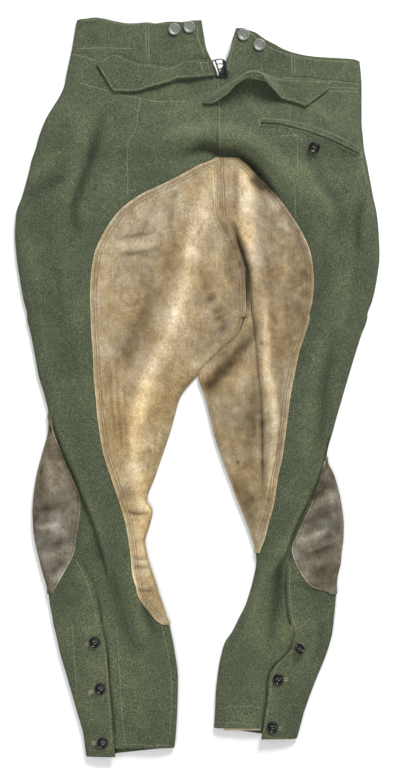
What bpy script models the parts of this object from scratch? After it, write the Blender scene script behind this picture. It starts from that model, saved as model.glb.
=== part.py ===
"""Riding breeches in felted wool with a leather seat, laid flat on their front.

World frame: +X to the right as seen from above, +Y from the hems to the waist, +Z up.
The cloth rests on Z = 0 with its back upwards. All sizes below are in millimetres.
"""

import math
from collections import namedtuple

import bmesh
import bpy
import numpy as np
from mathutils import Matrix, Vector
from mathutils.bvhtree import BVHTree

MM = 0.001
SHARP_ANGLE = math.radians(40)
OVERHEAD = 500.0

# Cloth and leather
WOOL = 2.0
BAND = 2.6
LEATHER = 1.5
STRAP = 2.4
FACING = 1.0
GAP = 0.3
LIFT = GAP + LEATHER

# The flat-laid form
EDGE = 7.0
ROUND_OFF = 40.0
TOP = 514.0
CROTCH = 100.0
LEGS_START = 99
CROTCH_RISE = 1.2
CENTRE = 28.0
FRONT_DIP = 428.0
FRONT_CURVE = 1.5
FLAP_RISE = WOOL + GAP
FLAP_FADE = 45.0
BAND_ROWS = 2

# Buttons, buckle, fly and underlaps
BUTTON_ROUND = 16
BUTTON_FOOT = 0.8
BUTTON_SEAT = 0.2
BUTTON_TURN = 40.0
WIRE = 1.3
BAR_WIRE = 1.04
PRONG_WIRE = 0.98
BEVEL_STEPS = 2
FLY_WIDTH = 44.0
FLY_TOP = 380.0
FLY_END = 205.0
UNDERLAP_START = -305.0

Material = namedtuple("Material", "name colour roughness metallic")
WOOL_GREEN = Material("wool_green", (0.095, 0.135, 0.078), 0.95, 0.0)
LEATHER_TAN = Material("leather_tan", (0.46, 0.33, 0.18), 0.8, 0.0)
LEATHER_GREY = Material("leather_grey", (0.19, 0.155, 0.115), 0.75, 0.0)
LINING = Material("lining_cream", (0.62, 0.57, 0.42), 0.9, 0.0)
HORN_GREY = Material("button_grey", (0.22, 0.23, 0.22), 0.45, 0.0)
HORN_BLACK = Material("button_black", (0.012, 0.013, 0.014), 0.25, 0.0)
LACQUER = Material("buckle_lacquer", (0.01, 0.01, 0.011), 0.35, 0.6)

# One row for each section across a leg, from the waist to the hem. Every x is where that line
# crosses the section, and crown is how high the upper cloth lies. bend is how much of the
# waist's top edge the section follows. lip is the inseam on the right leg and the long seat
# fold on the left, leather the edge of the seat, seam the side seam, patch the edge of the
# knee patch.
Section = namedtuple("Section", "y bend inner lip leather seam patch outer crown")
LEFT = [Section(*row) for row in (
    (514, 1.0, 6, -6, -30, -70, -120, -169, 12),
    (496, 1.0, 9, -4, -28, -70, -121, -172, 13),
    (478, 1.0, 12, -2, -25, -71, -122, -175, 14),
    (425, 0.5, 27.5, 14, -14, -77, -131, -186, 16),
    (372, 0.0, 28, 16, -6, -83, -142, -215, 20),
    (350, 0.0, 28, 18, 2, -92, -148, -223, 22),
    (338, 0.0, 28, 20, 8, -97, -151, -226, 21),
    (321, 0.0, 28, 25, 22, -98, -156, -232, 17),
    (312, 0.0, 28, 20, 8, -98, -158, -234, 16),
    (300, 0.0, 28, 15, -17, -98, -160, -237, 16),
    (285, 0.0, 29, 10, -49, -99, -162, -241, 17),
    (268, 0.0, 30, 5, -79, -101, -166, -246, 18),
    (245, 0.0, 31, 1, -108, -114, -175, -254, 18),
    (215, 0.0, 44, -3, -132, -136, -188, -256, 17),
    (185, 0.0, 58, -8, -145, -149, -196, -254, 17),
    (150, 0.0, 67, -15, -150, -154, -199, -249, 16),
    (122, 0.0, 68, -21, -150, -155, -199, -244, 15),
    (101, 0.0, 67.5, -28, -149, -157, -198, -239, 15),
    (99, 0.0, 66.5, -29, -149, -157, -198, -239, 15),
    (75, 0.0, 58, -39, -148, -163, -199, -234, 15),
    (50, 0.0, 33, -50, -146, -171, -201, -229, 14),
    (17, 0.0, 0, -65, -145, -183, -203, -223, 14),
    (-14, 0.0, -24, -75, -142, -190, -202, -214, 14),
    (-38, 0.0, -31, -81, -140, -192, -197, -209, 14),
    (-60, 0.0, -37, -86, -137, -193, -198, -209.5, 14),
    (-90, 0.0, -47, -87, -132, -186, -190, -217, 14),
    (-125, 0.0, -59, -88, -121, -172, -176, -226, 13),
    (-160, 0.0, -69, -87, -108, -158, -162, -231, 13),
    (-195, 0.0, -67, -82, -99, -144, -167, -231, 12),
    (-230, 0.0, -70, -82, -94, -133, -172, -225, 12),
    (-262, 0.0, -62, -76, -91, -127, -188, -217, 11),
    (-290, 0.0, -53, -68, -84, -131, -199, -209, 11),
    (-305, 0.0, -48, -61, -76, -136, -190, -207, 11),
    (-320, 0.0, -43, -53, -64, -135, -180, -204, 10),
    (-333, 0.0, -39, -48.5, -54, -133, -172, -202, 10),
    (-368, 0.0, -32, -46, -60, -127, -160, -194, 10),
    (-410, 0.0, -27, -42, -58, -123, -152, -182, 10),
    (-452, 0.0, -28, -43, -59, -119, -144, -170, 10),
    (-487, 0.0, -30, -45, -60, -116, -138, -160, 10),
    (-506, 0.0, -32, -46, -61, -115, -133, -156, 10),
)]
RIGHT = [Section(*row) for row in (
    (514, 1.0, 54, 66, 84, 134, 180, 228, 12),
    (496, 1.0, 49, 62, 80, 134, 180, 230, 13),
    (478, 1.0, 45, 58, 76, 133, 180, 231, 14),
    (425, 0.5, 30, 44, 66, 130, 177, 231, 16),
    (372, 0.0, 28, 42, 60, 131, 176, 231, 20),
    (350, 0.0, 28, 41, 58, 138, 180, 233, 24),
    (338, 0.0, 28, 40, 57, 139, 182, 234, 23),
    (321, 0.0, 28, 40, 59, 139, 184, 237, 18),
    (312, 0.0, 28, 42, 68, 139, 186, 239, 17),
    (300, 0.0, 28, 44, 79, 138, 188, 241, 17),
    (285, 0.0, 29, 46, 95, 136, 190, 244, 18),
    (268, 0.0, 30, 48, 110, 136, 190, 247, 18),
    (245, 0.0, 31, 50, 127, 137, 190, 252, 18),
    (215, 0.0, 44, 57, 146, 151, 197, 255, 17),
    (185, 0.0, 58, 67, 159, 163, 206, 256, 17),
    (150, 0.0, 67, 75, 164, 168, 208, 252, 16),
    (122, 0.0, 68, 77, 161, 166, 205, 246, 15),
    (101, 0.0, 67.5, 79, 157, 164, 201, 239, 15),
    (99, 0.0, 68.5, 79.5, 157, 164, 200, 239, 15),
    (75, 0.0, 59.5, 82, 151, 166, 198, 231, 14),
    (50, 0.0, 34.5, 84, 143, 170, 196, 223, 14),
    (17, 0.0, 3, 87, 136, 176, 194, 213, 14),
    (-14, 0.0, 11, 90, 130, 179, 191, 204, 14),
    (-38, 0.0, 17, 91, 127, 177, 186, 197, 13),
    (-60, 0.0, 22, 92, 124, 173, 181, 191, 13),
    (-98, 0.0, 34, 92, 119, 167, 172, 182, 13),
    (-125, 0.0, 44, 92, 113, 167, 172, 193, 13),
    (-160, 0.0, 57, 90, 108, 156, 161, 202, 13),
    (-195, 0.0, 71, 87, 99, 139, 145, 206, 12),
    (-225, 0.0, 81, 90, 95, 127, 132, 204, 12),
    (-245, 0.0, 83, 91, 98, 124, 137, 202, 11),
    (-268, 0.0, 79, 87, 96, 123, 150, 197, 11),
    (-290, 0.0, 73, 82, 92, 124, 184, 195, 11),
    (-305, 0.0, 68, 78, 89, 126, 178, 194, 11),
    (-325, 0.0, 58, 70, 84, 129, 172, 192, 10),
    (-343, 0.0, 49, 63, 80, 137, 170, 190, 10),
    (-360, 0.0, 38, 54, 74, 133, 165, 186, 10),
    (-375, 0.0, 34, 49, 67, 124, 157, 181, 10),
    (-388, 0.0, 31, 45, 62, 110, 148, 176, 10),
    (-402, 0.0, 29, 42, 58, 101, 140, 170, 11),
    (-430, 0.0, 26, 39, 55, 98, 133, 159, 11),
    (-455, 0.0, 25, 38, 54, 95, 127, 150, 11),
    (-478, 0.0, 23.5, 36, 51, 90, 120, 140, 11),
)]

# The waist's top edge, and how far the buttoned front hem hangs below the back one
TOP_EDGE = (
    (-169, 516), (-144, 518), (-117, 513), (-95, 509), (-70, 511), (-36, 512), (6, 514),
    (54, 503), (63, 503), (81, 497), (94, 488), (109, 480), (122, 473), (137, 468),
    (156, 464), (195, 461), (228, 458),
)
HEM_DROP = {"left": 12.0, "right": 15.0}
# How far the facing shows below the right hem, and how far up inside it reaches
FACING_SHOWS = 3.0
FACING_DEEP = 18.0

# Broad folds of the upper cloth, each a soft ridge or trough between two places
Fold = namedtuple("Fold", "x0 y0 x1 y1 width rise")
FOLDS = [Fold(*row) for row in (
    (-30, 352, 48, 350, 15, 6),
    (48, 350, 122, 294, 15, 7),
    (20, 315, 60, 312, 11, -3),
    (66, 308, 102, 274, 11, -3),
    (-147, 367, -163, 279, 10, -4),
    (-163, 279, -170, 215, 9, -4),
    (-172, 360, -190, 262, 14, 3),
    (144, 313, 190, 231, 13, 4),
    (228, 258, 225, 188, 9, -3),
    (1, 241, -45, 59, 14, 3),
    (-45, 59, -86, -60, 12, 4),
    (-87, -64, -87, -130, 10, 3),
    (82, 75, 16, -7, 10, -4),
    (112, -258, 116, -310, 10, -3),
    (-60, 150, -110, 20, 16, -3),
)]
# Folds whose edge lies over the next piece: the inseam roll on the right leg, and the side
# seams over both knees. Columns: y at which the roll starts, is full, is full still, ends.
Roll = namedtuple("Roll", "start full still end rise")
INSEAM_ROLL = Roll(235, 195, -40, -120, 8.0)
KNEE_ROLL = Roll(-10, -85, -215, -300, 5.0)
ROLL_ROUND = 8.0
ROLL_FADE = 26.0

SIDE = {"left": -1, "right": 1}
TABLE = {"left": LEFT, "right": RIGHT}
LEATHER_ROWS = {"left": (321, -333), "right": (321, -225)}
PATCH_ROWS = {"left": (-38, -290), "right": (-98, -290)}

# Columns round one leg: the upper cloth from the inner to the outer edge, the outer fold,
# the lower cloth back to the inner edge, and the inner fold
TOP_SPANS = (
    ("inner", "lip", (0.0, 0.5)),
    ("lip", "leather", (0.0, 0.1, 0.32, 0.64)),
    ("leather", "seam", (0.0, 0.45, 0.82, 1.0)),
    ("seam", "patch", (0.0, 0.5)),
    ("patch", "outer", (0.0, 0.55, 1.0)),
)
FOLD_ANGLES = (45, 90, 135)
BOTTOM_CELLS = 6
LIP, SEAT_EDGE, SEAM_BACK, SEAM_FRONT, PATCH, RIM = 2, 6, 9, 10, 12, 14
BOTTOM = RIM + 1 + len(FOLD_ANGLES)
CENTRE_FRONT = BOTTOM + BOTTOM_CELLS
INSEAM = CENTRE_FRONT + 2
COLUMNS = CENTRE_FRONT + 1 + len(FOLD_ANGLES)
# The least that a piece's corner is mitred by
TIGHT_CORNER = 0.5


def clear_scene():
    for obj in list(bpy.data.objects):
        bpy.data.objects.remove(obj, do_unlink=True)


def material(spec):
    """The Principled material of that finish."""
    found = bpy.data.materials.get(spec.name)
    if found:
        return found
    made = bpy.data.materials.new(spec.name)
    made.use_nodes = True
    shader = made.node_tree.nodes["Principled BSDF"]
    shader.inputs["Base Color"].default_value = (*spec.colour, 1.0)
    shader.inputs["Roughness"].default_value = spec.roughness
    shader.inputs["Metallic"].default_value = spec.metallic
    return made


def new_object(name, data, finish):
    obj = bpy.data.objects.new(name, data)
    obj.data.materials.append(material(finish))
    bpy.data.collections["riding_breeches"].objects.link(obj)
    return obj


def mesh_object(name, points, faces, finish):
    """A closed mesh from points in millimetres."""
    mesh = bpy.data.meshes.new(name)
    mesh.from_pydata([tuple(MM * v for v in p) for p in points], [], faces)
    mesh.shade_smooth()
    mesh.set_sharp_from_angle(angle=SHARP_ANGLE)
    return new_object(name, mesh, finish)


def swept(name, rings, finish):
    """A closed band through rings of points, each ring from its lower face to its upper."""
    count = len(rings[0])
    points = [point for ring_points in rings for point in ring_points]
    faces = []
    for i in range(len(rings) - 1):
        for k in range(count):
            a, b = i * count + k, i * count + (k + 1) % count
            faces += [(a, b, b + count), (a, b + count, a + count)]
    last = (len(rings) - 1) * count
    faces += [tuple(reversed(range(count))), tuple(last + k for k in range(count))]
    return mesh_object(name, points, faces, finish)


def top_edge(x):
    """The waist's upper edge across the back, at x."""
    xs, ys = zip(*TOP_EDGE)
    return float(np.interp(x, xs, ys))


def front_edge(x):
    """The waist's edge on the hidden front, which dips towards the centre."""
    side = TOP_EDGE[0] if x < CENTRE else TOP_EDGE[-1]
    away = min(1.0, abs((x - CENTRE) / (side[0] - CENTRE)))
    return FRONT_DIP + (side[1] - FRONT_DIP) * away ** FRONT_CURVE


def quarter_round(distance, radius):
    """Rises from 0 at distance 0 to 1 at the radius, as a quarter of a circle does."""
    left = 1.0 - min(max(distance / radius, 0.0), 1.0)
    return math.sqrt(1.0 - left * left)


def fold_relief(x, y):
    """What the broad folds add to the cloth's height at a place."""
    total = 0.0
    for fold in FOLDS:
        along = Vector((fold.x1 - fold.x0, fold.y1 - fold.y0))
        offset = Vector((x - fold.x0, y - fold.y0))
        t = offset.dot(along) / along.length_squared
        nearest = min(max(t, 0.0), 1.0)
        distance = (offset - along * nearest).length
        total += fold.rise * math.exp(-((distance / fold.width) ** 2))
    return total


def roll_height(roll, y, distance):
    """A rolled edge's height on the side that lies on top, distance away from the edge."""
    ys = (roll.end, roll.still, roll.full, roll.start)
    full = float(np.interp(y, ys, (0.0, roll.rise, roll.rise, 0.0)))
    fade = math.exp(-max(0.0, distance - ROLL_ROUND) / ROLL_FADE)
    return full * quarter_round(distance, ROLL_ROUND) * fade


def upper_height(side, section, rims, column, x, y):
    """Height of the upper cloth's outer face."""
    inner, outer = rims
    from_inner = abs(x - inner) + max(0.0, section.y - CROTCH) * CROTCH_RISE
    away = min(from_inner, abs(outer - x))
    body = quarter_round(away, ROUND_OFF)
    height = EDGE + (section.crown - EDGE) * body + fold_relief(x, y) * body
    if column <= SEAM_BACK:
        height += roll_height(KNEE_ROLL, section.y, abs(x - section.seam))
        if side == "right" and column >= LIP:
            height += roll_height(INSEAM_ROLL, section.y, x - section.lip)
    elif section.y <= UNDERLAP_START:
        height += FLAP_RISE * max(0.0, 1.0 - abs(x - section.seam) / FLAP_FADE)
    return max(height, EDGE)


def in_rows(section, rows):
    return rows[1] <= section.y <= rows[0]


def ring(side, section, last):
    """The points round one leg at one section, or round half of the hips above the crotch."""
    sign = SIDE[side]
    radius = EDGE / 2
    leg = section.y < CROTCH
    outer = section.outer - sign * (LIFT if in_rows(section, PATCH_ROWS[side]) else 0.0)
    inner = section.inner
    if leg:
        inner += sign * (LIFT if in_rows(section, LEATHER_ROWS[side]) else 0.0)
    rims = (inner + sign * radius * leg, outer - sign * radius)
    ends = section._asdict() | {"inner": rims[0], "outer": rims[1]}

    def line(x, edge):
        return section.y + section.bend * (edge(x) - TOP)

    points = []
    for start, end, fractions in TOP_SPANS:
        for fraction in fractions:
            x = ends[start] + (ends[end] - ends[start]) * fraction
            y = line(x, top_edge)
            if last and len(points) >= SEAM_FRONT:
                y -= HEM_DROP[side]
            points.append((x, y, upper_height(side, section, rims, len(points), x, y)))
    drop = HEM_DROP[side] if last else 0.0
    for angle in FOLD_ANGLES:
        turn = math.radians(angle)
        x = rims[1] + sign * radius * math.sin(turn)
        points.append((x, line(x, front_edge) - drop, radius * (1 + math.cos(turn))))
    for cell in range(BOTTOM_CELLS + 1):
        fraction = cell / BOTTOM_CELLS
        x = rims[1] + (rims[0] - rims[1]) * fraction
        points.append((x, line(x, front_edge) - drop * (1 - fraction), 0.0))
    for angle in FOLD_ANGLES:
        turn = math.radians(angle)
        x = rims[0] - sign * radius * math.sin(turn)
        points.append((x, section.y, radius * (1 - math.cos(turn))))
    return points


class Leg:
    """One half of the breeches: a grid of points, rows down the length and columns round it."""

    def __init__(self, side):
        self.side = side
        self.sections = TABLE[side]
        last = len(self.sections) - 1
        rows = [ring(side, s, i == last) for i, s in enumerate(self.sections)]
        self.points = np.array(rows)
        self.normals = self.shared_normals()

    def row(self, y):
        """The number of the section at y."""
        return [section.y for section in self.sections].index(y)

    def corners(self, row, column):
        """The four grid places of a cell, in order."""
        after = (column + 1) % COLUMNS
        return (row, column), (row, after), (row + 1, after), (row + 1, column)

    def whole(self, row, column):
        """Whether cloth spans this cell: none joins front and back above the crotch."""
        leg = self.sections[row].y < CROTCH
        return column != SEAM_BACK and (leg or column < CENTRE_FRONT)

    def shared_normals(self):
        """Directions out of the cloth, the same for every layer and for both sides of a seam."""
        total = np.zeros_like(self.points)
        for row in range(len(self.sections) - 1):
            for column in range(COLUMNS):
                if not self.whole(row, column):
                    continue
                a, b, c, d = self.corners(row, column)
                p = self.points
                normal = np.cross(p[d] - p[b], p[c] - p[a]) * SIDE[self.side]
                for place in (a, b, c, d):
                    total[place] += normal
        for row, section in enumerate(self.sections):
            total[row, SEAM_BACK] = total[row, SEAM_FRONT] = (
                total[row, SEAM_BACK] + total[row, SEAM_FRONT]
            )
            if section.y > CROTCH:
                total[row, 0] = (0, 0, 1)
                total[row, CENTRE_FRONT] = (0, 0, -1)
                total[row, CENTRE_FRONT + 1:] = (0, 0, 1)
        total[:, BOTTOM:CENTRE_FRONT + 1] = (0, 0, -1)
        return total / np.linalg.norm(total, axis=2, keepdims=True)

    def cells(self, first, last, columns):
        """The cells between two rows, in the given columns."""
        return [(row, column) for row in range(first, last) for column in columns]

    def rim_shift(self, used):
        """How far each rim place moves into its own piece, so that seams keep their gap."""
        edges = {}
        for row, column in used:
            ring_of_cell = self.corners(row, column)
            centre = sum(self.points[place] for place in ring_of_cell) / 4
            for i, start in enumerate(ring_of_cell):
                end = ring_of_cell[(i + 1) % 4]
                edges.setdefault(frozenset((start, end)), []).append((start, end, centre))
        pulls = {}
        outline = []
        for found in edges.values():
            if len(found) != 1:
                continue
            start, end, centre = found[0]
            outline.append((start, end))
            a, b = self.points[start], self.points[end]
            along = (b - a) / np.linalg.norm(b - a)
            inward = centre - a - along * np.dot(centre - a, along)
            inward /= np.linalg.norm(inward)
            for place in (start, end):
                pulls.setdefault(place, []).append(inward)
        shifts = {}
        for place, pull in pulls.items():
            share = 1 + np.dot(pull[0], pull[-1]) if len(pull) > 1 else 1.0
            shifts[place] = sum(pull) / max(share, TIGHT_CORNER) * GAP / 2
            if BOTTOM <= place[1] <= CENTRE_FRONT:
                shifts[place][2] = 0.0
        return shifts, outline

    def wall(self, name, used, finish, thickness, top=0.0):
        """A closed wall over some cells. top is its outer face's height over the grid."""
        shifts, outline = self.rim_shift(used)
        places = sorted({place for cell in used for place in self.corners(*cell)})
        number = {place: i for i, place in enumerate(places)}
        below = len(places)
        points = []
        for height in (top, top - thickness):
            for place in places:
                base = self.points[place] + shifts.get(place, 0.0)
                points.append(base + self.normals[place] * height)
        faces = []
        for row, column in used:
            a, b, c, d = (number[place] for place in self.corners(row, column))
            faces += [(a, b, c), (a, c, d)]
            faces += [(below + c, below + b, below + a), (below + d, below + c, below + a)]
        for start, end in outline:
            a, b = number[start], number[end]
            faces += [(b, a, below + a), (b, below + a, below + b)]
        if self.side == "right":
            faces = [face[::-1] for face in faces]
        return mesh_object(name, points, faces, finish)


def span(first, last):
    return list(range(first, last))


def hem_facing(leg):
    """The cream facing inside the right leg's hem, which shows as a thin line below it."""
    last = len(leg.sections) - 1
    columns = range(LIP, SEAM_BACK + 1)
    depth = (WOOL + GAP, WOOL + GAP + FACING)
    rings = []
    for column in columns:
        hem = leg.points[last, column]
        above = leg.points[last - 1, column]
        up = (above - hem) / np.linalg.norm(above - hem)
        normal = leg.normals[last, column]
        inset = leg.points[last, LIP + 1] - leg.points[last, LIP]
        side_gap = inset / np.linalg.norm(inset) * {LIP: GAP, SEAM_BACK: -GAP}.get(column, 0.0)
        low, high = hem - up * FACING_SHOWS + side_gap, hem + up * FACING_DEEP + side_gap
        rings.append([
            low - normal * depth[1], high - normal * depth[1],
            high - normal * depth[0], low - normal * depth[0],
        ])
    return swept("hem_facing_right", rings, LINING)


def make_half(side):
    """Cuts one half of the breeches into its panels, waistbands, leathers and underlap."""
    leg = Leg(side)
    hem = len(leg.sections) - 1
    crotch = leg.row(LEGS_START)
    seat_first, seat_last = (leg.row(y) for y in LEATHER_ROWS[side])
    patch_first, patch_last = (leg.row(y) for y in PATCH_ROWS[side])
    round_inner = span(CENTRE_FRONT, COLUMNS)

    if side == "left":
        back_leg = span(INSEAM, COLUMNS) + span(0, SEAM_BACK)
        seat_leg = span(INSEAM, COLUMNS) + span(0, SEAT_EDGE)
        front_leg = span(SEAM_FRONT, INSEAM)
    else:
        back_leg = span(LIP, SEAM_BACK)
        seat_leg = span(LIP, SEAT_EDGE)
        front_leg = span(SEAM_FRONT, COLUMNS) + span(0, LIP)

    back = leg.cells(BAND_ROWS, crotch, span(0, SEAM_BACK)) + leg.cells(crotch, hem, back_leg)
    front = leg.cells(BAND_ROWS, crotch, span(SEAM_FRONT, CENTRE_FRONT))
    front += leg.cells(crotch, hem, front_leg)
    leg.wall("back_" + side, back, WOOL_GREEN, WOOL)
    leg.wall("front_" + side, front, WOOL_GREEN, WOOL)

    band_back = leg.cells(0, BAND_ROWS, span(0, SEAM_BACK))
    band_front = leg.cells(0, BAND_ROWS, span(SEAM_FRONT, CENTRE_FRONT))
    leg.wall("waistband_back_" + side, band_back, WOOL_GREEN, BAND)
    leg.wall("waistband_front_" + side, band_front, WOOL_GREEN, BAND)

    seat = leg.cells(seat_first, crotch, span(0, SEAT_EDGE))
    seat += leg.cells(crotch, seat_last, seat_leg)
    leg.wall("seat_leather_" + side, seat, LEATHER_TAN, LEATHER, LIFT)
    if side == "right":
        inner = leg.cells(crotch, seat_last, round_inner[2:] + span(0, LIP))
        leg.wall("inner_leather_" + side, inner, LEATHER_TAN, LEATHER, LIFT)

    patch = leg.cells(patch_first, patch_last, span(PATCH, RIM + 2))
    leg.wall("knee_patch_" + side, patch, LEATHER_GREY, LEATHER, LIFT)

    underlap = leg.cells(leg.row(UNDERLAP_START), hem, span(SEAM_FRONT, PATCH))
    leg.wall("calf_underlap_" + side, underlap, WOOL_GREEN, FACING, -(WOOL + GAP))
    if side == "right":
        hem_facing(leg)


def cloth_above():
    """A finder of the highest cloth over a place."""
    points, faces = [], []
    for obj in bpy.data.collections["riding_breeches"].objects:
        start = len(points)
        points += [vertex.co / MM for vertex in obj.data.vertices]
        faces += [[start + i for i in face.vertices] for face in obj.data.polygons]
    tree = BVHTree.FromPolygons(points, faces)

    def height(x, y):
        hit = tree.ray_cast(Vector((x, y, OVERHEAD)), Vector((0, 0, -1)))
        return hit[0].z if hit[0] else 0.0

    return height


# Straps: one row for each station from the sewn end to the free or buckled end. rise is the
# strap's lift off the cloth at its middle, tilt turns it about its length, in degrees.
Station = namedtuple("Station", "x y width rise tilt")
STRAP_LEFT = [Station(*row) for row in (
    (-140, 451, 3, 1.0, 0), (-134, 446, 16, 1.0, 0), (-127, 441, 34, 1.0, 0),
    (-117, 438, 49, 1.0, 0), (-108, 438, 50, 1.2, 0), (-96, 436, 44, 2.0, 0),
    (-83, 433, 37, 2.5, 0), (-62, 435, 32, 3.0, 0), (-40, 437, 24, 3.5, 0),
    (-28, 440, 21, 4.0, 0), (-12, 443, 26, 4.5, 0), (8, 445, 24, 3.0, 0),
    (20, 446, 22, 1.0, 0), (27, 447, 20, 0.0, 0),
)]
STRAP_RIGHT = [Station(*row) for row in (
    (183, 420, 8, 1.0, 0), (172, 418, 24, 1.0, 0), (152, 414, 38, 1.0, 0),
    (132, 414, 34, 1.0, 0), (117, 418, 32, 2.0, 12), (106, 424, 28, 4.0, 32),
    (95, 430, 25, 7.0, 54), (84, 435, 24, 9.0, 68), (73, 435, 23, 9.5, 70),
    (62, 430, 23, 8.5, 62), (50, 420, 23, 6.0, 46), (38, 411, 22, 4.0, 24),
    (24, 403, 18, 2.5, 6), (14, 399, 9, 2.0, 0), (8, 397, 3, 1.5, 0),
)]
STRAP_PARTS = 4
STRAP_CLEAR = 0.5


def strap(name, stations, over):
    """A flat band swept through its stations, clear of what lies under it."""
    rings = []
    for i, station in enumerate(stations):
        before = stations[max(i - 1, 0)]
        after = stations[min(i + 1, len(stations) - 1)]
        along = Vector((after.x - before.x, after.y - before.y, 0)).normalized()
        across = Vector((-along.y, along.x, 0))
        tilt = math.radians(station.tilt)
        reach = [station.width * (k / STRAP_PARTS - 0.5) for k in range(STRAP_PARTS + 1)]
        flat = [(r * math.cos(tilt), r * math.sin(tilt)) for r in reach]
        need = []
        for sideways, up in flat:
            place = Vector((station.x, station.y, 0)) + across * sideways
            need.append(over(place.x, place.y) - up)
        base = max(need) + station.rise + STRAP_CLEAR
        normal = Vector((0, 0, 1)) * math.cos(tilt) - across * math.sin(tilt)
        lower = [
            Vector((station.x, station.y, base + up)) + across * sideways
            for sideways, up in flat
        ]
        upper = [point + normal * STRAP for point in reversed(lower)]
        rings.append(lower + upper)
    return swept(name, rings, WOOL_GREEN)


def tube(points, radius, closed=False):
    """A round bar through points, as a mesh object."""
    curve = bpy.data.curves.new("bar", "CURVE")
    curve.dimensions = "3D"
    curve.bevel_depth = radius * MM
    curve.bevel_resolution = BEVEL_STEPS
    curve.use_fill_caps = not closed
    line = curve.splines.new("POLY")
    line.points.add(len(points) - 1)
    line.use_cyclic_u = closed
    for knot, point in zip(line.points, points):
        knot.co = (*(MM * v for v in point), 1.0)
    made = bpy.data.objects.new("bar", curve)
    bpy.context.scene.collection.objects.link(made)
    bpy.context.view_layer.update()
    graph = bpy.context.evaluated_depsgraph_get()
    mesh = bpy.data.meshes.new_from_object(made.evaluated_get(graph))
    bpy.data.objects.remove(made)
    shape = bmesh.new()
    shape.from_mesh(mesh)
    bmesh.ops.remove_doubles(shape, verts=shape.verts, dist=1e-6)
    bmesh.ops.recalc_face_normals(shape, faces=shape.faces)
    shape.to_mesh(mesh)
    shape.free()
    return mesh


# The buckle: its middle, size, turn and height over the ground, and its bars
BUCKLE_AT = (33.0, 446.0)
BUCKLE_SIZE = (21.0, 23.0)
BUCKLE_CORNER = 3.0
BUCKLE_TURN = -11.0
BUCKLE_BAR = -3.5
PRONGS = (-4.5, 4.0)
PRONG_RISE = (0.5, 1.2)
CORNER_POINTS = 4


def rounded_loop(width, height, corner):
    """Points round a rectangle with round corners."""
    points = []
    for quarter in range(4):
        turn = math.pi / 2 * quarter
        sx, sy = ((1, 1), (-1, 1), (-1, -1), (1, -1))[quarter]
        cx, cy = sx * (width / 2 - corner), sy * (height / 2 - corner)
        for k in range(CORNER_POINTS):
            angle = turn + math.pi / 2 * k / (CORNER_POINTS - 1)
            points.append((cx + corner * math.cos(angle), cy + corner * math.sin(angle), 0))
    return points


def buckle(over):
    """A lacquered frame with a middle bar and two prongs, made one piece, seated on the cloth.

    Returns the height of the frame's top.
    """
    turn = Matrix.Rotation(math.radians(BUCKLE_TURN), 4, "Z")
    outline = [turn @ Vector(point) for point in rounded_loop(*BUCKLE_SIZE, BUCKLE_CORNER)]
    under = [over(BUCKLE_AT[0] + point.x, BUCKLE_AT[1] + point.y) for point in outline]
    height = max(under) + WIRE + GAP
    width, tall = BUCKLE_SIZE
    width, tall = width - 2 * WIRE, tall - 2 * WIRE
    right = width / 2
    bars = [tube([(BUCKLE_BAR, -tall / 2, 0), (BUCKLE_BAR, tall / 2, 0)], BAR_WIRE)]
    for y in PRONGS:
        bars.append(tube([(BUCKLE_BAR, y, PRONG_RISE[0]), (right, y, PRONG_RISE[1])], PRONG_WIRE))
    frame = new_object("buckle", tube(rounded_loop(width, tall, BUCKLE_CORNER), WIRE, True), LACQUER)
    for i, mesh in enumerate(bars):
        cutter = bpy.data.objects.new(f"buckle_bar_{i}", mesh)
        cutter.hide_render = True
        cutter.display_type = "WIRE"
        bpy.data.collections["cutters"].objects.link(cutter)
        join = frame.modifiers.new(cutter.name, "BOOLEAN")
        join.operation = "UNION"
        join.object = cutter
    place = Matrix.Translation(Vector((*BUCKLE_AT, height)) * MM) @ turn
    for obj in [frame] + [join.object for join in frame.modifiers]:
        obj.matrix_world = place
    return height + WIRE


# Dished buttons: outer radius and height, then x, y and the way each one leans
Button = namedtuple("Button", "name x y radius lean finish")
BUTTONS = [Button(*row) for row in (
    ("brace_button_1", -32, 501, 8.5, 0, HORN_GREY),
    ("brace_button_2", -11, 504, 8.5, 0, HORN_GREY),
    ("brace_button_3", 65, 493, 8.5, 0, HORN_GREY),
    ("brace_button_4", 87, 479, 8.5, 0, HORN_GREY),
    ("pocket_button", 163, 334, 7.8, 0, HORN_BLACK),
    ("calf_button_left_1", -144, -357, 7.8, 0, HORN_BLACK),
    ("calf_button_left_2", -136, -422, 7.8, 0, HORN_BLACK),
    ("calf_button_left_3", -133, -498, 7.8, 0, HORN_BLACK),
    ("calf_button_right_1", 143, -366, 7.5, 32, HORN_BLACK),
    ("calf_button_right_2", 113, -409, 7.8, 0, HORN_BLACK),
    ("calf_button_right_3", 105, -476, 7.8, 0, HORN_BLACK),
)]
# Radius as a share of the button's, and height: the back, the rim and the dish
DISH = ((0.0, 0.0), (0.8, 0.0), (1.0, 1.2), (0.97, 2.4), (0.8, 2.7), (0.55, 1.5), (0.0, 1.5))


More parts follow.
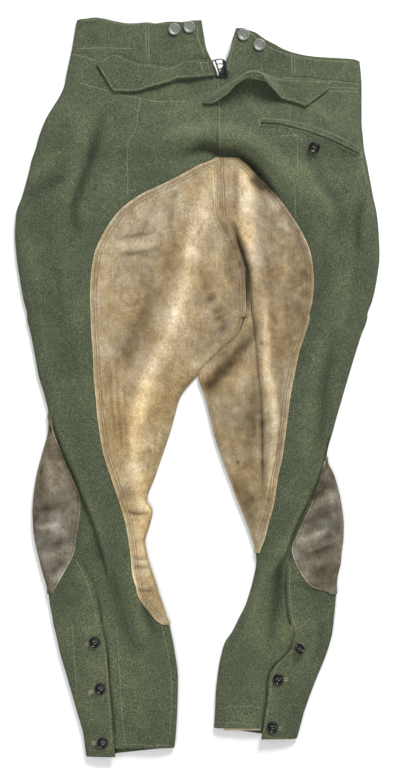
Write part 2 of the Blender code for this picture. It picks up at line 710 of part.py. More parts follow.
def button(spec, over):
    """A turned dish, seated on the cloth under it."""
    mesh = bpy.data.meshes.new(spec.name)
    profile = [(MM * spec.radius * share, 0.0, MM * z) for share, z in reversed(DISH)]
    mesh.from_pydata(profile, [(i, i + 1) for i in range(len(profile) - 1)], [])
    obj = new_object(spec.name, mesh, spec.finish)
    screw = obj.modifiers.new("turn", "SCREW")
    screw.axis = "Z"
    screw.steps = screw.render_steps = BUTTON_ROUND
    screw.use_merge_vertices = True
    screw.merge_threshold = 0.00001
    lean = math.radians(spec.lean)
    foot = spec.radius * BUTTON_FOOT
    ring_points = [math.tau * k / BUTTON_ROUND for k in range(BUTTON_ROUND)]
    under = [over(spec.x + foot * math.cos(a), spec.y + foot * math.sin(a)) for a in ring_points]
    height = max(under) + GAP + BUTTON_SEAT + foot * math.sin(lean)
    obj.location = (MM * spec.x, MM * spec.y, MM * height)
    obj.rotation_euler = (0, lean, math.radians(BUTTON_TURN if spec.lean else 0))
    return obj


# The back pocket's welt follows this curve, below the slit
WELT = ((89, 368), (103, 368), (119, 366), (134, 362), (150, 358), (169, 351), (187, 344),
        (207, 335), (226, 327))
WELT_WIDTH = 8.0
WELT_THICK = 1.4
WELT_STATIONS = 24
WELT_SHARES = (1.0, 0.67, 0.33, 0.0)
# Places round a point that a piece laid on the cloth has to clear
NEAR = ((0, 0), (3, 0), (-3, 0), (0, 3), (0, -3))


def welt(over):
    """The bound lower lip of the back pocket, on the cloth across the side seam."""
    rings = []
    xs = np.linspace(WELT[0][0], WELT[-1][0], WELT_STATIONS)
    ys = np.interp(xs, *zip(*WELT))
    slopes = np.gradient(ys, xs)
    for x, y, slope in zip(xs, ys, slopes):
        across = Vector((slope, -1.0, 0)).normalized()
        lower = []
        for share in WELT_SHARES:
            place = Vector((x, y, 0)) + across * WELT_WIDTH * share
            near = [over(place.x + dx, place.y + dy) for dx, dy in NEAR]
            place.z = max(near) + GAP
            lower.append(place)
        upper = [point + Vector((0, 0, WELT_THICK)) for point in reversed(lower)]
        rings.append(lower + upper)
    return swept("pocket_welt", rings, WOOL_GREEN)


def fly():
    """The plain fly shield on the inside of the hidden front, across its centre seam."""
    bpy.ops.mesh.primitive_cube_add(size=1)
    obj = bpy.context.object
    obj.name = obj.data.name = "fly_shield"
    obj.data.materials.append(material(WOOL_GREEN))
    for collection in list(obj.users_collection):
        collection.objects.unlink(obj)
    bpy.data.collections["riding_breeches"].objects.link(obj)
    size = Vector((FLY_WIDTH, FLY_TOP - FLY_END, WOOL)) * MM
    middle = Vector((CENTRE, (FLY_TOP + FLY_END) / 2, WOOL * 1.5 + GAP)) * MM
    obj.data.transform(Matrix.Translation(middle) @ Matrix.Diagonal((*size, 1)))
    return obj


def build():
    clear_scene()
    for name in ("riding_breeches", "cutters"):
        bpy.context.scene.collection.children.link(bpy.data.collections.new(name))
    make_half("left")
    make_half("right")
    fly()
    over = cloth_above()
    welt(over)
    buckle_top = buckle(over)
    buckle_side = BUCKLE_AT[0] - BUCKLE_SIZE[0] / 2 - STRAP

    def over_buckle(x, y):
        return max(over(x, y), buckle_top if x > buckle_side else 0.0)

    strap("back_strap_left", STRAP_LEFT, over_buckle)
    strap("back_strap_right", STRAP_RIGHT, over)
    for spec in BUTTONS:
        button(spec, over)


build()
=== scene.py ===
import math
from collections import namedtuple

import bmesh
import bpy
import numpy as np
from mathutils import Matrix, Vector, noise
from mathutils.bvhtree import BVHTree


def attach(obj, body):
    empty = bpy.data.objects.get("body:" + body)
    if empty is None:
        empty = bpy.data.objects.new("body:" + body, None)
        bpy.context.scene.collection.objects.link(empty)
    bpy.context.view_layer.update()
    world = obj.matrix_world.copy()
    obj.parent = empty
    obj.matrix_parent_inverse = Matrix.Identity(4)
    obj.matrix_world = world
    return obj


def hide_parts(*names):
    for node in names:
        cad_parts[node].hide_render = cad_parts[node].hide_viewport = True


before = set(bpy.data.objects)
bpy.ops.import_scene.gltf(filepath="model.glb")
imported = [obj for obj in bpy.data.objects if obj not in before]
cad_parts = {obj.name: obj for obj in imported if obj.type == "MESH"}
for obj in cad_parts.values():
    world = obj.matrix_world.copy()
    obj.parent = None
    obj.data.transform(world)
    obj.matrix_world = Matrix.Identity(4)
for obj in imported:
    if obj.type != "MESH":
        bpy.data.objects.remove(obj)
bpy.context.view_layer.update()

# ---------------------------------------------------------------- wool panels and waistbands
# Each half is one tube of felted twill, open at the waist and the hem and laid flat on its front.
# A back and a front panel are sewn at the side and inside leg, with a waistband along the top.
# The seams are pressed, and the cloth lies in soft folds.
MM = 0.001
# The cut, in millimetres, as sections across each half from the waist down: a section's height
# on the picture, where each line of the cut crosses it, and how high the upper cloth lies there
LINES = ("inner", "lip", "leather", "seam", "patch", "outer", "crown")
LEFT = (
    (514, 6, -6, -30, -70, -120, -169, 12),
    (496, 9, -4, -28, -70, -121, -172, 13),
    (478, 12, -2, -25, -71, -122, -175, 14),
    (436, 28.6, 11, -16, -76, -129, -184, 15.6),
    (425, 28, 14, -14, -77, -131, -186, 16),
    (372, 28, 16, -6, -83, -142, -215, 20),
    (350, 28, 18, 2, -92, -148, -223, 22),
    (338, 28, 20, 8, -97, -151, -226, 21),
    (321, 28, 27, 25.5, -98, -156, -232, 17),
    (317.5, 28, 25, 20, -98, -157, -233, 16.6),
    (312, 28, 20, 5, -98, -158, -234, 16),
    (300, 28, 15, -17, -98, -160, -237, 16),
    (285, 29, 10, -46, -99, -162, -241, 17),
    (268, 30, 5, -81, -103, -166, -246, 18),
    (245, 31, 1, -110, -117, -175, -254, 18),
    (215, 44, -3, -131, -137, -188, -256, 17),
    (185, 58, -8, -144, -150, -196, -254, 17),
    (150, 67, -15, -149, -155, -199, -249, 16),
    (122, 68, -21, -150, -156, -199, -244, 15),
    (101, 67.5, -28, -149, -158, -198, -239, 15),
    (99, 66.5, -29, -149, -158, -198, -239, 15),
    (75, 58, -39, -148, -164, -199, -234, 15),
    (50, 33, -50, -146, -172, -201, -229, 14),
    (17, 0, -65, -145, -184, -204, -223, 14),
    (-14, -24, -75, -142, -195, -206, -214, 14),
    (-38, -31, -81, -140, -202, -205.5, -209, 14),
    (-60, -37, -86, -137, -198, -201.5, -209.5, 14),
    (-90, -47, -87, -132, -187, -190.5, -217, 14),
    (-125, -59, -88, -121, -172, -176, -226, 13),
    (-158, -70, -87, -110, -159, -163.5, -230.5, 13),
    (-174, -62.5, -84, -105, -152, -164, -231.5, 13),
    (-193, -66.5, -82, -100, -144.5, -166.5, -231, 12),
    (-217, -73, -83, -96, -137, -170, -228, 12),
    (-230, -71, -82, -94, -133, -172, -225, 12),
    (-262, -62, -76, -91, -127, -188, -217, 11),
    (-278, -56.5, -71, -86.5, -129, -197, -212, 11),
    (-290, -53, -68, -84, -131, -204, -209, 11),
    (-305, -48, -61, -75.5, -136, -190, -207, 11),
    (-320, -43, -53, -63, -135, -180, -204, 10),
    (-326, -41.3, -50.5, -58, -134, -176, -203, 10),
    (-330, -40.2, -48, -53, -133.5, -174, -202.5, 10),
    (-333, -39.2, -46, -48.5, -133, -172, -202, 10),
    (-345, -36.5, -46.5, -54, -131, -168, -199, 10),
    (-368, -32, -46, -60, -127, -160, -194, 10),
    (-410, -27, -42, -58, -123, -152, -182, 10),
    (-452, -28, -43, -59, -119, -144, -170, 10),
    (-487, -30, -45, -60, -116, -138, -160, 10),
    (-506, -32, -46, -61, -115, -133, -156, 10),
)
RIGHT = (
    (514, 54, 66, 84, 134, 180, 228, 12),
    (496, 49, 62, 80, 134, 180, 230, 13),
    (478, 45, 58, 76, 133, 180, 231, 14),
    (436, 29.2, 47, 68, 130.6, 177.6, 231, 15.6),
    (425, 28.2, 44, 66, 130, 177, 231, 16),
    (372, 28, 42, 60, 131, 176, 231, 20),
    (350, 28, 41, 58, 138, 180, 233, 24),
    (338, 28, 40, 57, 139, 182, 234, 23),
    (321, 28, 40, 59, 139, 184, 237, 18),
    (312, 28, 42, 69, 139, 186, 239, 17),
    (300, 28, 44, 80, 138, 188, 241, 17),
    (285, 29, 46, 95, 137, 190, 244, 18),
    (268, 30, 48, 111, 137, 190, 247, 18),
    (245, 31, 50, 128, 139, 190, 252, 18),
    (215, 44, 57, 147, 153, 197, 255, 17),
    (185, 58, 67, 159, 164, 206, 256, 17),
    (150, 67, 75, 163, 168, 208, 252, 16),
    (122, 68, 77, 161, 167, 205, 246, 15),
    (101, 67.5, 79, 157, 165, 201, 239, 15),
    (99, 66.8, 79.5, 157, 165, 200, 239, 15),
    (75, 57.6, 82, 151, 166, 198, 231, 14),
    (50, 32.6, 84, 143, 170, 196, 223, 14),
    (17, 1.5, 87, 136, 178, 195, 213, 14),
    (-14, 11, 90, 130, 183, 193, 204, 14),
    (-38, 17, 91, 127, 184.5, 190, 197, 13),
    (-60, 22, 92, 124, 184, 186.5, 191, 13),
    (-98, 34, 92, 119, 177.5, 179.8, 182, 13),
    (-125, 44, 92, 113, 170, 173.5, 193, 13),
    (-160, 57, 90, 108, 156, 161, 202, 13),
    (-195, 71, 87, 99, 139, 145, 206, 12),
    (-212, 76.5, 88, 95, 131.5, 137, 205.5, 12),
    (-225, 81, 88, 89.8, 127, 132, 204, 12),
    (-232, 82, 86.9, 88, 125.5, 133, 203, 12),
    (-245, 83, 90, 95.5, 124, 137, 202, 11),
    (-268, 79, 87.5, 97, 123, 150, 197, 11),
    (-280, 76, 84.5, 94, 123.5, 162, 196, 11),
    (-290, 73, 82, 92, 124, 187.5, 195, 11),
    (-305, 68, 78, 89, 126, 178, 194, 11),
    (-325, 58, 70, 84, 129, 172, 192, 10),
    (-343, 49, 63, 80, 137, 170, 190, 10),
    (-360, 38, 54, 74, 133, 165, 186, 10),
    (-375, 34, 49, 67, 124, 157, 181, 10),
    (-388, 31, 45, 62, 110, 148, 176, 10),
    (-402, 29, 42, 58, 101, 140, 170, 11),
    (-430, 26, 39, 55, 98, 133, 159, 11),
    (-455, 25, 38, 54, 95, 127, 150, 11),
    (-478, 23.5, 36, 51, 90, 120, 140, 11),
)
# The waist's edge across the back, and how much of its slope the rows take on, by their height
TOP = 514.0
TOP_EDGE = (
    (-169, 516), (-157, 516.6), (-144, 518), (-131, 516.4), (-117, 513), (-95, 509.5),
    (-82, 510), (-70, 511), (-58, 509.4), (-50, 510.6), (-36, 512), (-20, 511.4), (-8, 513.6),
    (6, 514), (54, 503), (63, 503), (74, 499.4), (81, 497), (94, 488), (109, 480), (122, 473),
    (137, 468), (156, 464), (172, 462.4), (195, 461), (217, 460), (228, 458),
)
BEND = ((372, 425, 436, 478), (0.0, 0.5, 0.6, 1.0))
CENTRE, CROTCH, BAND_SEAM = 28.0, 100.0, 478.0
# The waist's lowest place on the hidden front, and its curve towards the sides
FRONT_DIP, FRONT_CURVE = 428.0, 1.5
# How far the buttoned front hem hangs below the back one, and over what height it gets there
HEM_DROP, HEM_RUN = {"left": 12.0, "right": 15.0}, {"left": 19.0, "right": 23.0}
# Thicknesses, and how far the leather's face lies above the wool's
WOOL, BAND, LIFT = 2.0, 2.6, 1.8
# Height of the folded edges, and how far from them the upper cloth is still rounded
EDGE, ROUND_OFF = 7.0, 40.0
# The grid: the step between rows, how many steps go round a folded edge and across the underside,
# and the extra rows beside the waistband's seam
ROW_STEP, FOLD_STEPS, UNDER_STEPS = 2.7, 6, 24
SEAM_ROWS = (-3.2, -1.8, -0.8, 0.8, 1.8, 3.2)
# Columns between two lines of the cut, and whether they crowd towards its start and its end
Span = namedtuple("Span", "start end count crowd_start crowd_end")
SPANS = [Span(*row) for row in (
    ("inner", "lip", 15, True, False),
    ("lip", "leather", 62, True, True),
    ("leather", "seam", 19, False, True),
    ("seam", "patch", 19, True, False),
    ("patch", "outer", 24, True, False),
)]
# How far crowded columns lie from their line, and the most of a span that they take up
CROWDED, CROWDED_MOST = np.array((1.0, 2.1, 3.3, 4.6, 6.2, 8.0, 10.2)), 0.6
# Two sides of the panels' seam share their facing where they lie closer than this
SEAM_LEVEL = 0.2
# The heights between which the leathers lie, and from which the calf's opening is buttoned
LEATHER_ROWS = {"left": (321, -333), "right": (321, -232)}
PATCH_ROWS = {"left": (-38, -290), "right": (-98, -290)}
UNDERLAP_START = -305.0
# The height over which the wool makes room for the leather's end, that over which it turns at the
# crotch, and how fast the inner line stops being a rounded edge above the crotch
EASE, CROTCH_EASE, CROTCH_CLIMB = 12.0, 34.0, 1.2

# Folds of the upper cloth, each a soft ridge or trough: the widths of its flanks on the left and
# right of a line drawn downwards and its rise, in millimetres, and the places that it runs along
# on the laying-out grid of 1.4 mm squares. It dies away towards both ends, by its length's share.
GRID, GRID_START = 1.4, (197.2, 387.3)
STROKE_STEP, STROKE_REACH, STROKE_FADE = 6.0, 3, (-0.12, 0.25)
FOLDS = {"both": (
    # over the top of the seat
    (13, 16, 9, (160, 146), (198, 137), (231.5, 138.5), (262, 155), (294, 192)),
    (7, 4.5, -7.5, (184, 156), (206, 149), (224.5, 155), (237, 156), (247, 162), (257, 172),
        (280, 202)),
    (10, 12, 2.6, (194, 102), (178, 111), (161, 120)),
), "left": (
    # hip
    (7, 6, -5, (103, 116), (94, 150), (87.6, 169), (80, 190), (75, 206), (74, 216), (78, 236)),
    (10, 8, 3.4, (85, 112), (80.5, 150), (71, 186), (61.5, 206)),
    (9, 9, 2.2, (22, 181), (45, 166), (66, 153)),
    (8, 8, -2.4, (26, 198), (46, 187), (68, 175)),
    (5, 5, -1.8, (55, 263), (57, 276), (59, 290)),
    (9, 9, 1.8, (24, 230), (30, 258), (38, 285)),
    (12, 9, 1.6, (118, 150), (112, 180), (100, 205)),
    (11, 11, -1.8, (60, 300), (66, 345), (75, 390)),
    (9, 12, 2, (74, 290), (80, 340), (90, 400), (100, 455)),
    (8, 8, -1.5, (100, 36), (88, 44)),
    # seat and thigh leather
    (12, 13, 3.2, (202, 192), (202.5, 219), (193, 240), (189, 265), (185, 292), (172, 331),
        (158.5, 357), (147, 384), (139.5, 412), (135, 440), (134, 466), (138, 492), (150, 512)),
    (4, 4, -1.8, (203, 221), (198, 236), (191, 249)),
    (4, 4, -2, (200, 276), (210, 298), (218, 316), (225, 335)),
    (5, 5, -1.3, (120, 239), (136, 236), (153, 233)),
    (5, 5, -1.3, (119, 255), (140, 256), (161, 259)),
    (7, 7, 1.4, (112, 248), (136, 246), (160, 246)),
    (6, 6, -1.6, (176, 192), (170, 222), (172, 250), (168, 286)),
    (16, 16, -2.6, (160, 285), (140, 318), (122, 362)),
    (3.4, 3.4, -1.1, (109, 356), (111, 400), (116, 446)),
    (3, 3, 0.9, (112.5, 352), (114.5, 398), (119.5, 452)),
    (3.2, 3.2, -1.2, (116, 362), (118, 405), (122.5, 456)),
    (3, 3, 0.9, (119.5, 372), (121.5, 410), (125, 462)),
    (3.2, 3.2, -1, (123, 378), (125, 420), (128, 470)),
    (3.4, 3.4, 1.3, (144, 439), (152, 448), (161, 456)),
    (3.4, 3.4, -1.1, (141, 452), (149, 458), (158, 463)),
    (3.4, 3.4, -1, (150, 425), (157, 432), (164, 437)),
    # knee
    (3.2, 3.6, -2.8, (125, 511), (137, 514), (151, 512)),
    (6, 5, 2.2, (147, 497), (151, 507), (150, 519)),
    (2.6, 2.6, -1.1, (129, 519), (138, 521), (147, 519)),
    (2.6, 2.6, -1.2, (130, 526), (139, 527), (147, 525)),
    (2.6, 2.6, -1, (131, 533), (139, 535), (146, 532)),
    (2.6, 2.6, -1.1, (132, 541), (138, 542), (145, 540)),
    (4, 4, 1.5, (144, 536), (145, 550), (147, 562)),
    (3.2, 3.2, -2, (133, 557), (141, 559), (149, 557)),
    (3.4, 3.4, -2, (134, 566), (143, 568), (151, 566)),
    (3, 3, -1.4, (136, 589), (146, 591), (155, 590)),
    # calf
    (4.5, 4.5, -2.2, (47, 611), (53, 606), (60, 602)),
    (4.5, 4.5, -2.4, (55, 591), (63, 589), (74, 584)),
    (26, 1.3, 2.4, (76, 549), (80, 556), (85.4, 568), (92.3, 579), (95.8, 592), (99.2, 606),
        (101, 622)),
    (7, 6, -5.2, (111, 572), (116, 598), (123, 622), (134, 648)),
    (7, 8, 4.2, (127, 560), (133, 592), (139, 620), (148, 644)),
    (6, 6, -3, (143, 606), (150, 624), (160, 640)),
    (10, 10, 2.4, (127, 592), (133, 622), (142, 656), (150, 690)),
    (8, 8, -1.8, (138, 600), (148, 634), (158, 662)),
    (10, 10, 1.4, (128, 668), (134, 700), (140, 730)),
    (7, 7, -1.3, (72, 620), (78, 650), (84, 676)),
), "right": (
    # over the top of the seat
    (12, 15, 2.6, (250, 94), (256, 112), (266, 128)),
    # hip and thigh
    (11, 11, 4.2, (297, 158), (306, 181), (322, 202), (333, 223)),
    (8, 6, -4, (364, 196), (358.6, 218), (357.6, 256)),
    (9, 9, -3, (338, 334), (327, 378), (324, 408), (320, 456)),
    (12, 9, 2.2, (322, 330), (314, 375), (308, 430), (300, 480)),
    (10, 10, -2, (318, 182), (338, 206), (346, 240)),
    (14, 12, 2, (345, 250), (340, 300), (330, 340)),
    (8, 8, -1.6, (326, 240), (322, 280), (316, 310)),
    (9, 9, 1.8, (306, 96), (318, 112), (336, 124)),
    # seat leather
    (4, 6, -4.2, (231, 220), (240, 246), (247, 269), (247, 292), (246, 314)),
    (9, 9, 3.4, (239, 164), (248, 196), (247, 226), (250, 250), (254, 278)),
    (5, 5, -1.8, (256, 172), (262, 196), (268, 216)),
    (10, 10, 1.8, (268, 190), (282, 225), (288, 262), (286, 300)),
    (6, 6, -2, (262, 240), (268, 268), (270, 300), (272, 330)),
    (9, 9, 1.6, (280, 300), (280, 345), (276, 392)),
    (4, 4, -1.4, (283, 330), (282, 372), (279, 410)),
    (5, 7, 3, (264, 296), (265.7, 341), (267, 372), (271, 394), (275, 420), (274, 442), (272, 466),
        (269, 496)),
    (3.4, 3.4, -1.5, (280, 400), (280, 430), (276, 470)),
    (2.4, 2.4, -0.9, (264, 479), (269, 482), (274, 481)),
    (2.4, 2.4, -0.9, (264, 488), (268, 491), (273, 490)),
    (2.4, 2.4, -0.9, (263, 497), (267, 500), (272, 499)),
    (2.4, 2.4, -0.9, (262, 506), (266, 509), (270, 507)),
    # inside of the thigh
    (9, 8, -4.4, (258, 328), (244, 346), (228, 366), (211, 384), (202, 402)),
    (12, 10, 2, (246, 372), (230, 392), (218, 420)),
    (8, 8, -1.8, (256, 380), (250, 425), (246, 470)),
    (7, 7, 1.6, (236, 430), (244, 470), (252, 505)),
    # calf
    (9, 7, 3.4, (262, 590), (254, 618), (247, 646)),
    (7, 7, -2.6, (246, 606), (238, 628), (231, 650)),
    (4.5, 4.5, -2.4, (284, 588), (298, 585), (308, 590), (318, 598), (328, 604)),
    (14, 4, 7.5, (292, 536), (286, 549), (279, 561), (271, 572), (264, 588), (260, 612)),
    (5, 5, -5, (281, 562), (278, 576), (275, 596), (273, 622), (270, 644)),
    (1.6, 20, 2, (287, 560), (286, 585), (287, 603), (289.5, 619), (292, 628)),
    (10, 9, 2.6, (263, 596), (259, 626), (258, 660)),
    (6, 6, 1.6, (287, 600), (287, 618), (284, 640)),
    (9, 9, -1.6, (244, 650), (240, 680), (242, 712)),
    (7, 7, 1.8, (306, 612), (314, 640), (304, 668)),
    (6, 6, -1.6, (318, 618), (322, 640), (314, 660)),
)}
# Rolled edges: the heights at which one starts, is full, is still full and ends, and its rise.
# From the edge it rounds off, then fades. The buttoned edge of the calf stands up a little too.
Roll = namedtuple("Roll", "start full still end rise")
INSEAM_ROLL = Roll(240, 195, -60, -190, 8.0)
KNEE_ROLL = {"left": Roll(-6, -70, -240, -300, 7.5), "right": Roll(-20, -100, -222, -262, 7.5)}
ROLL_ROUND, ROLL_FADE = 6.0, 22.0
FLAP_RISE, FLAP_FADE, FLAP_EASE = 2.3, 45.0, 6.0
# Lumps of the cloth: their size, rise and seed
LUMPS = ((36, 1.1, 3.1), (15, 0.5, 8.3), (7, 0.22, 5.7))
# Pressed seams: depth and width of the groove, and rise, distance and width of the ridge beside
# it. The side seam shows down to a height of its own, the centre seam below the notch.
Pressed = namedtuple("Pressed", "depth width ridge away ridge_width")
SIDE_SEAM = Pressed(1.0, 1.7, 0.5, 4.5, 3.0)
WAIST_SEAM = Pressed(0.9, 1.5, 0.35, 5.0, 4.0)
CENTRE_SEAM = Pressed(0.9, 1.8, 0.0, 0.0, 1.0)
SEAM_SHOWS = {"left": 262, "right": 236}
NOTCH_ROWS, CENTRE_REACH = (425, 345, 330), 40.0


def laid(place):
    """A place on the laying-out grid, in millimetres."""
    return (place[0] - GRID_START[0]) * GRID, (GRID_START[1] - place[1]) * GRID


def eased(places, values, at):
    """A smooth line through some values that never swings past them."""
    order = np.argsort(places)
    x, v = np.asarray(places, float)[order], np.asarray(values, float)[order]
    h = np.diff(x)
    slope = np.diff(v) / h
    tangent = np.zeros(len(x))
    before, after = slope[:-1], slope[1:]
    w1, w2 = 2 * h[1:] + h[:-1], h[1:] + 2 * h[:-1]
    same = before * after > 0
    tangent[1:-1][same] = ((w1 + w2)[same]
                           / (w1[same] / before[same] + w2[same] / after[same]))
    tangent[0], tangent[-1] = slope[0], slope[-1]
    at = np.clip(at, x[0], x[-1])
    i = np.clip(np.searchsorted(x, at) - 1, 0, len(h) - 1)
    t = (at - x[i]) / h[i]
    return (v[i] * (1 + 2 * t) * (1 - t) ** 2 + v[i + 1] * t * t * (3 - 2 * t)
            + h[i] * (tangent[i] * t * (1 - t) ** 2 + tangent[i + 1] * t * t * (t - 1)))


def step(value, low, high):
    """Turns smoothly from 0 at low to 1 at high."""
    t = np.clip((value - low) / (high - low), 0, 1)
    return t * t * (3 - 2 * t)


def hump(distance, width):
    """A soft bump, 1 high at no distance."""
    return np.exp(-((distance / width) ** 2))


def top_edge(x):
    """The waist's edge across the back."""
    return eased(*zip(*TOP_EDGE), x)


def front_edge(x):
    """The waist's edge on the hidden front, which dips towards the centre."""
    side = np.where(x < CENTRE, TOP_EDGE[0][0], TOP_EDGE[-1][0])
    high = np.where(x < CENTRE, TOP_EDGE[0][1], TOP_EDGE[-1][1])
    away = np.clip(np.abs((x - CENTRE) / (side - CENTRE)), 0, 1)
    return FRONT_DIP + (high - FRONT_DIP) * away ** FRONT_CURVE


def quarter_round(share):
    """Rises from 0 to 1 as a quarter of a circle does."""
    return np.sqrt(1 - (1 - np.clip(share, 0, 1)) ** 2)


def nearest(x, y, line):
    """Each point's distance to a line, its side (1 on the left of a line drawn downwards), and
    how far along it lies, from 0 to 1."""
    line = np.asarray(line, float)
    lengths = np.linalg.norm(np.diff(line, axis=0), axis=1)
    gone = np.concatenate(([0], np.cumsum(lengths)))
    best = np.full(x.shape, 1e9)
    side = np.zeros(x.shape)
    along = np.zeros(x.shape)
    for i, (a, b) in enumerate(zip(line, line[1:])):
        dx, dy = (b - a) / max(lengths[i], 1e-9)
        t = np.clip((x - a[0]) * dx + (y - a[1]) * dy, 0, lengths[i])
        ox, oy = x - a[0] - t * dx, y - a[1] - t * dy
        distance = np.hypot(ox, oy)
        closer = distance < best
        best = np.where(closer, distance, best)
        side = np.where(closer, np.sign(dy * ox - dx * oy), side)
        along = np.where(closer, (gone[i] + t) / gone[-1], along)
    return best, side, along


def run(places):
    """How far along a line each of its places lies."""
    return np.concatenate(([0], np.cumsum(np.linalg.norm(np.diff(places, axis=0), axis=1))))


def smooth_line(places, spacing=2.0):
    """A smooth path through some places in millimetres, with points at an even spacing."""
    places = np.asarray(places, float)
    gone = run(places)
    at = np.linspace(0, gone[-1], max(2, math.ceil(gone[-1] / spacing) + 1))
    if len(places) == 2:
        return places[0] + (places[1] - places[0]) * (at / gone[-1])[:, None]
    return np.stack([eased(gone, column, at) for column in places.T], 1)


def stroked(strokes, side, x, y):
    """What strokes along places add up to: each has its flanks' widths and its strength."""
    total = np.zeros(x.shape)
    for left_width, right_width, strength, *places in strokes["both"] + strokes[side]:
        line = smooth_line([laid(place) for place in places], STROKE_STEP)
        reach = STROKE_REACH * max(left_width, right_width)
        low, high = line.min(0) - reach, line.max(0) + reach
        near = (x > low[0]) & (x < high[0]) & (y > low[1]) & (y < high[1])
        distance, which, along = nearest(x[near], y[near], line)
        width = np.where(which > 0, left_width, right_width)
        ends = step(along, *STROKE_FADE) * step(1 - along, *STROKE_FADE)
        total[near] += strength * ends * hump(distance, width)
    return total


def roll_height(roll, y, distance):
    """A rolled edge's height on the side that lies on top, away from the edge."""
    ys = (roll.end, roll.still, roll.full, roll.start)
    full = np.interp(y, ys, (0.0, roll.rise, roll.rise, 0.0))
    fade = np.exp(-np.maximum(0.0, distance - ROLL_ROUND) / ROLL_FADE)
    return full * quarter_round(distance / ROLL_ROUND) * fade


def pressed(distance, seam):
    """The relief of a pressed seam at some distance from it."""
    return (seam.ridge * hump(distance - seam.away, seam.ridge_width)
            - seam.depth * hump(distance, seam.width))


def lumps(x, y, size, seed):
    """Soft unevenness from -1 to 1, in lumps of about that size in millimetres."""
    flat = [noise.noise((a / size, b / size, seed)) for a, b in zip(x.ravel(), y.ravel())]
    return np.array(flat).reshape(x.shape)


def spread(width, span):
    """The shares of a span at which its columns lie."""
    crowded = (span.crowd_start + span.crowd_end) * CROWDED[-1]
    width = np.maximum(width, 0.01)
    squeeze = np.minimum(1.0, CROWDED_MOST * width / max(crowded, 1e-9)) / width
    shares = [0 * width]
    if span.crowd_start:
        shares += [offset * squeeze for offset in CROWDED]
    tail = [1 - offset * squeeze for offset in CROWDED[::-1]] if span.crowd_end else []
    count = span.count - len(shares) - len(tail)
    low, high = shares[-1], tail[0] if tail else 1 + 0 * width
    shares += [low + (high - low) * k / (count + 1) for k in range(1, count + 1)]
    return np.stack(shares + tail, 1)


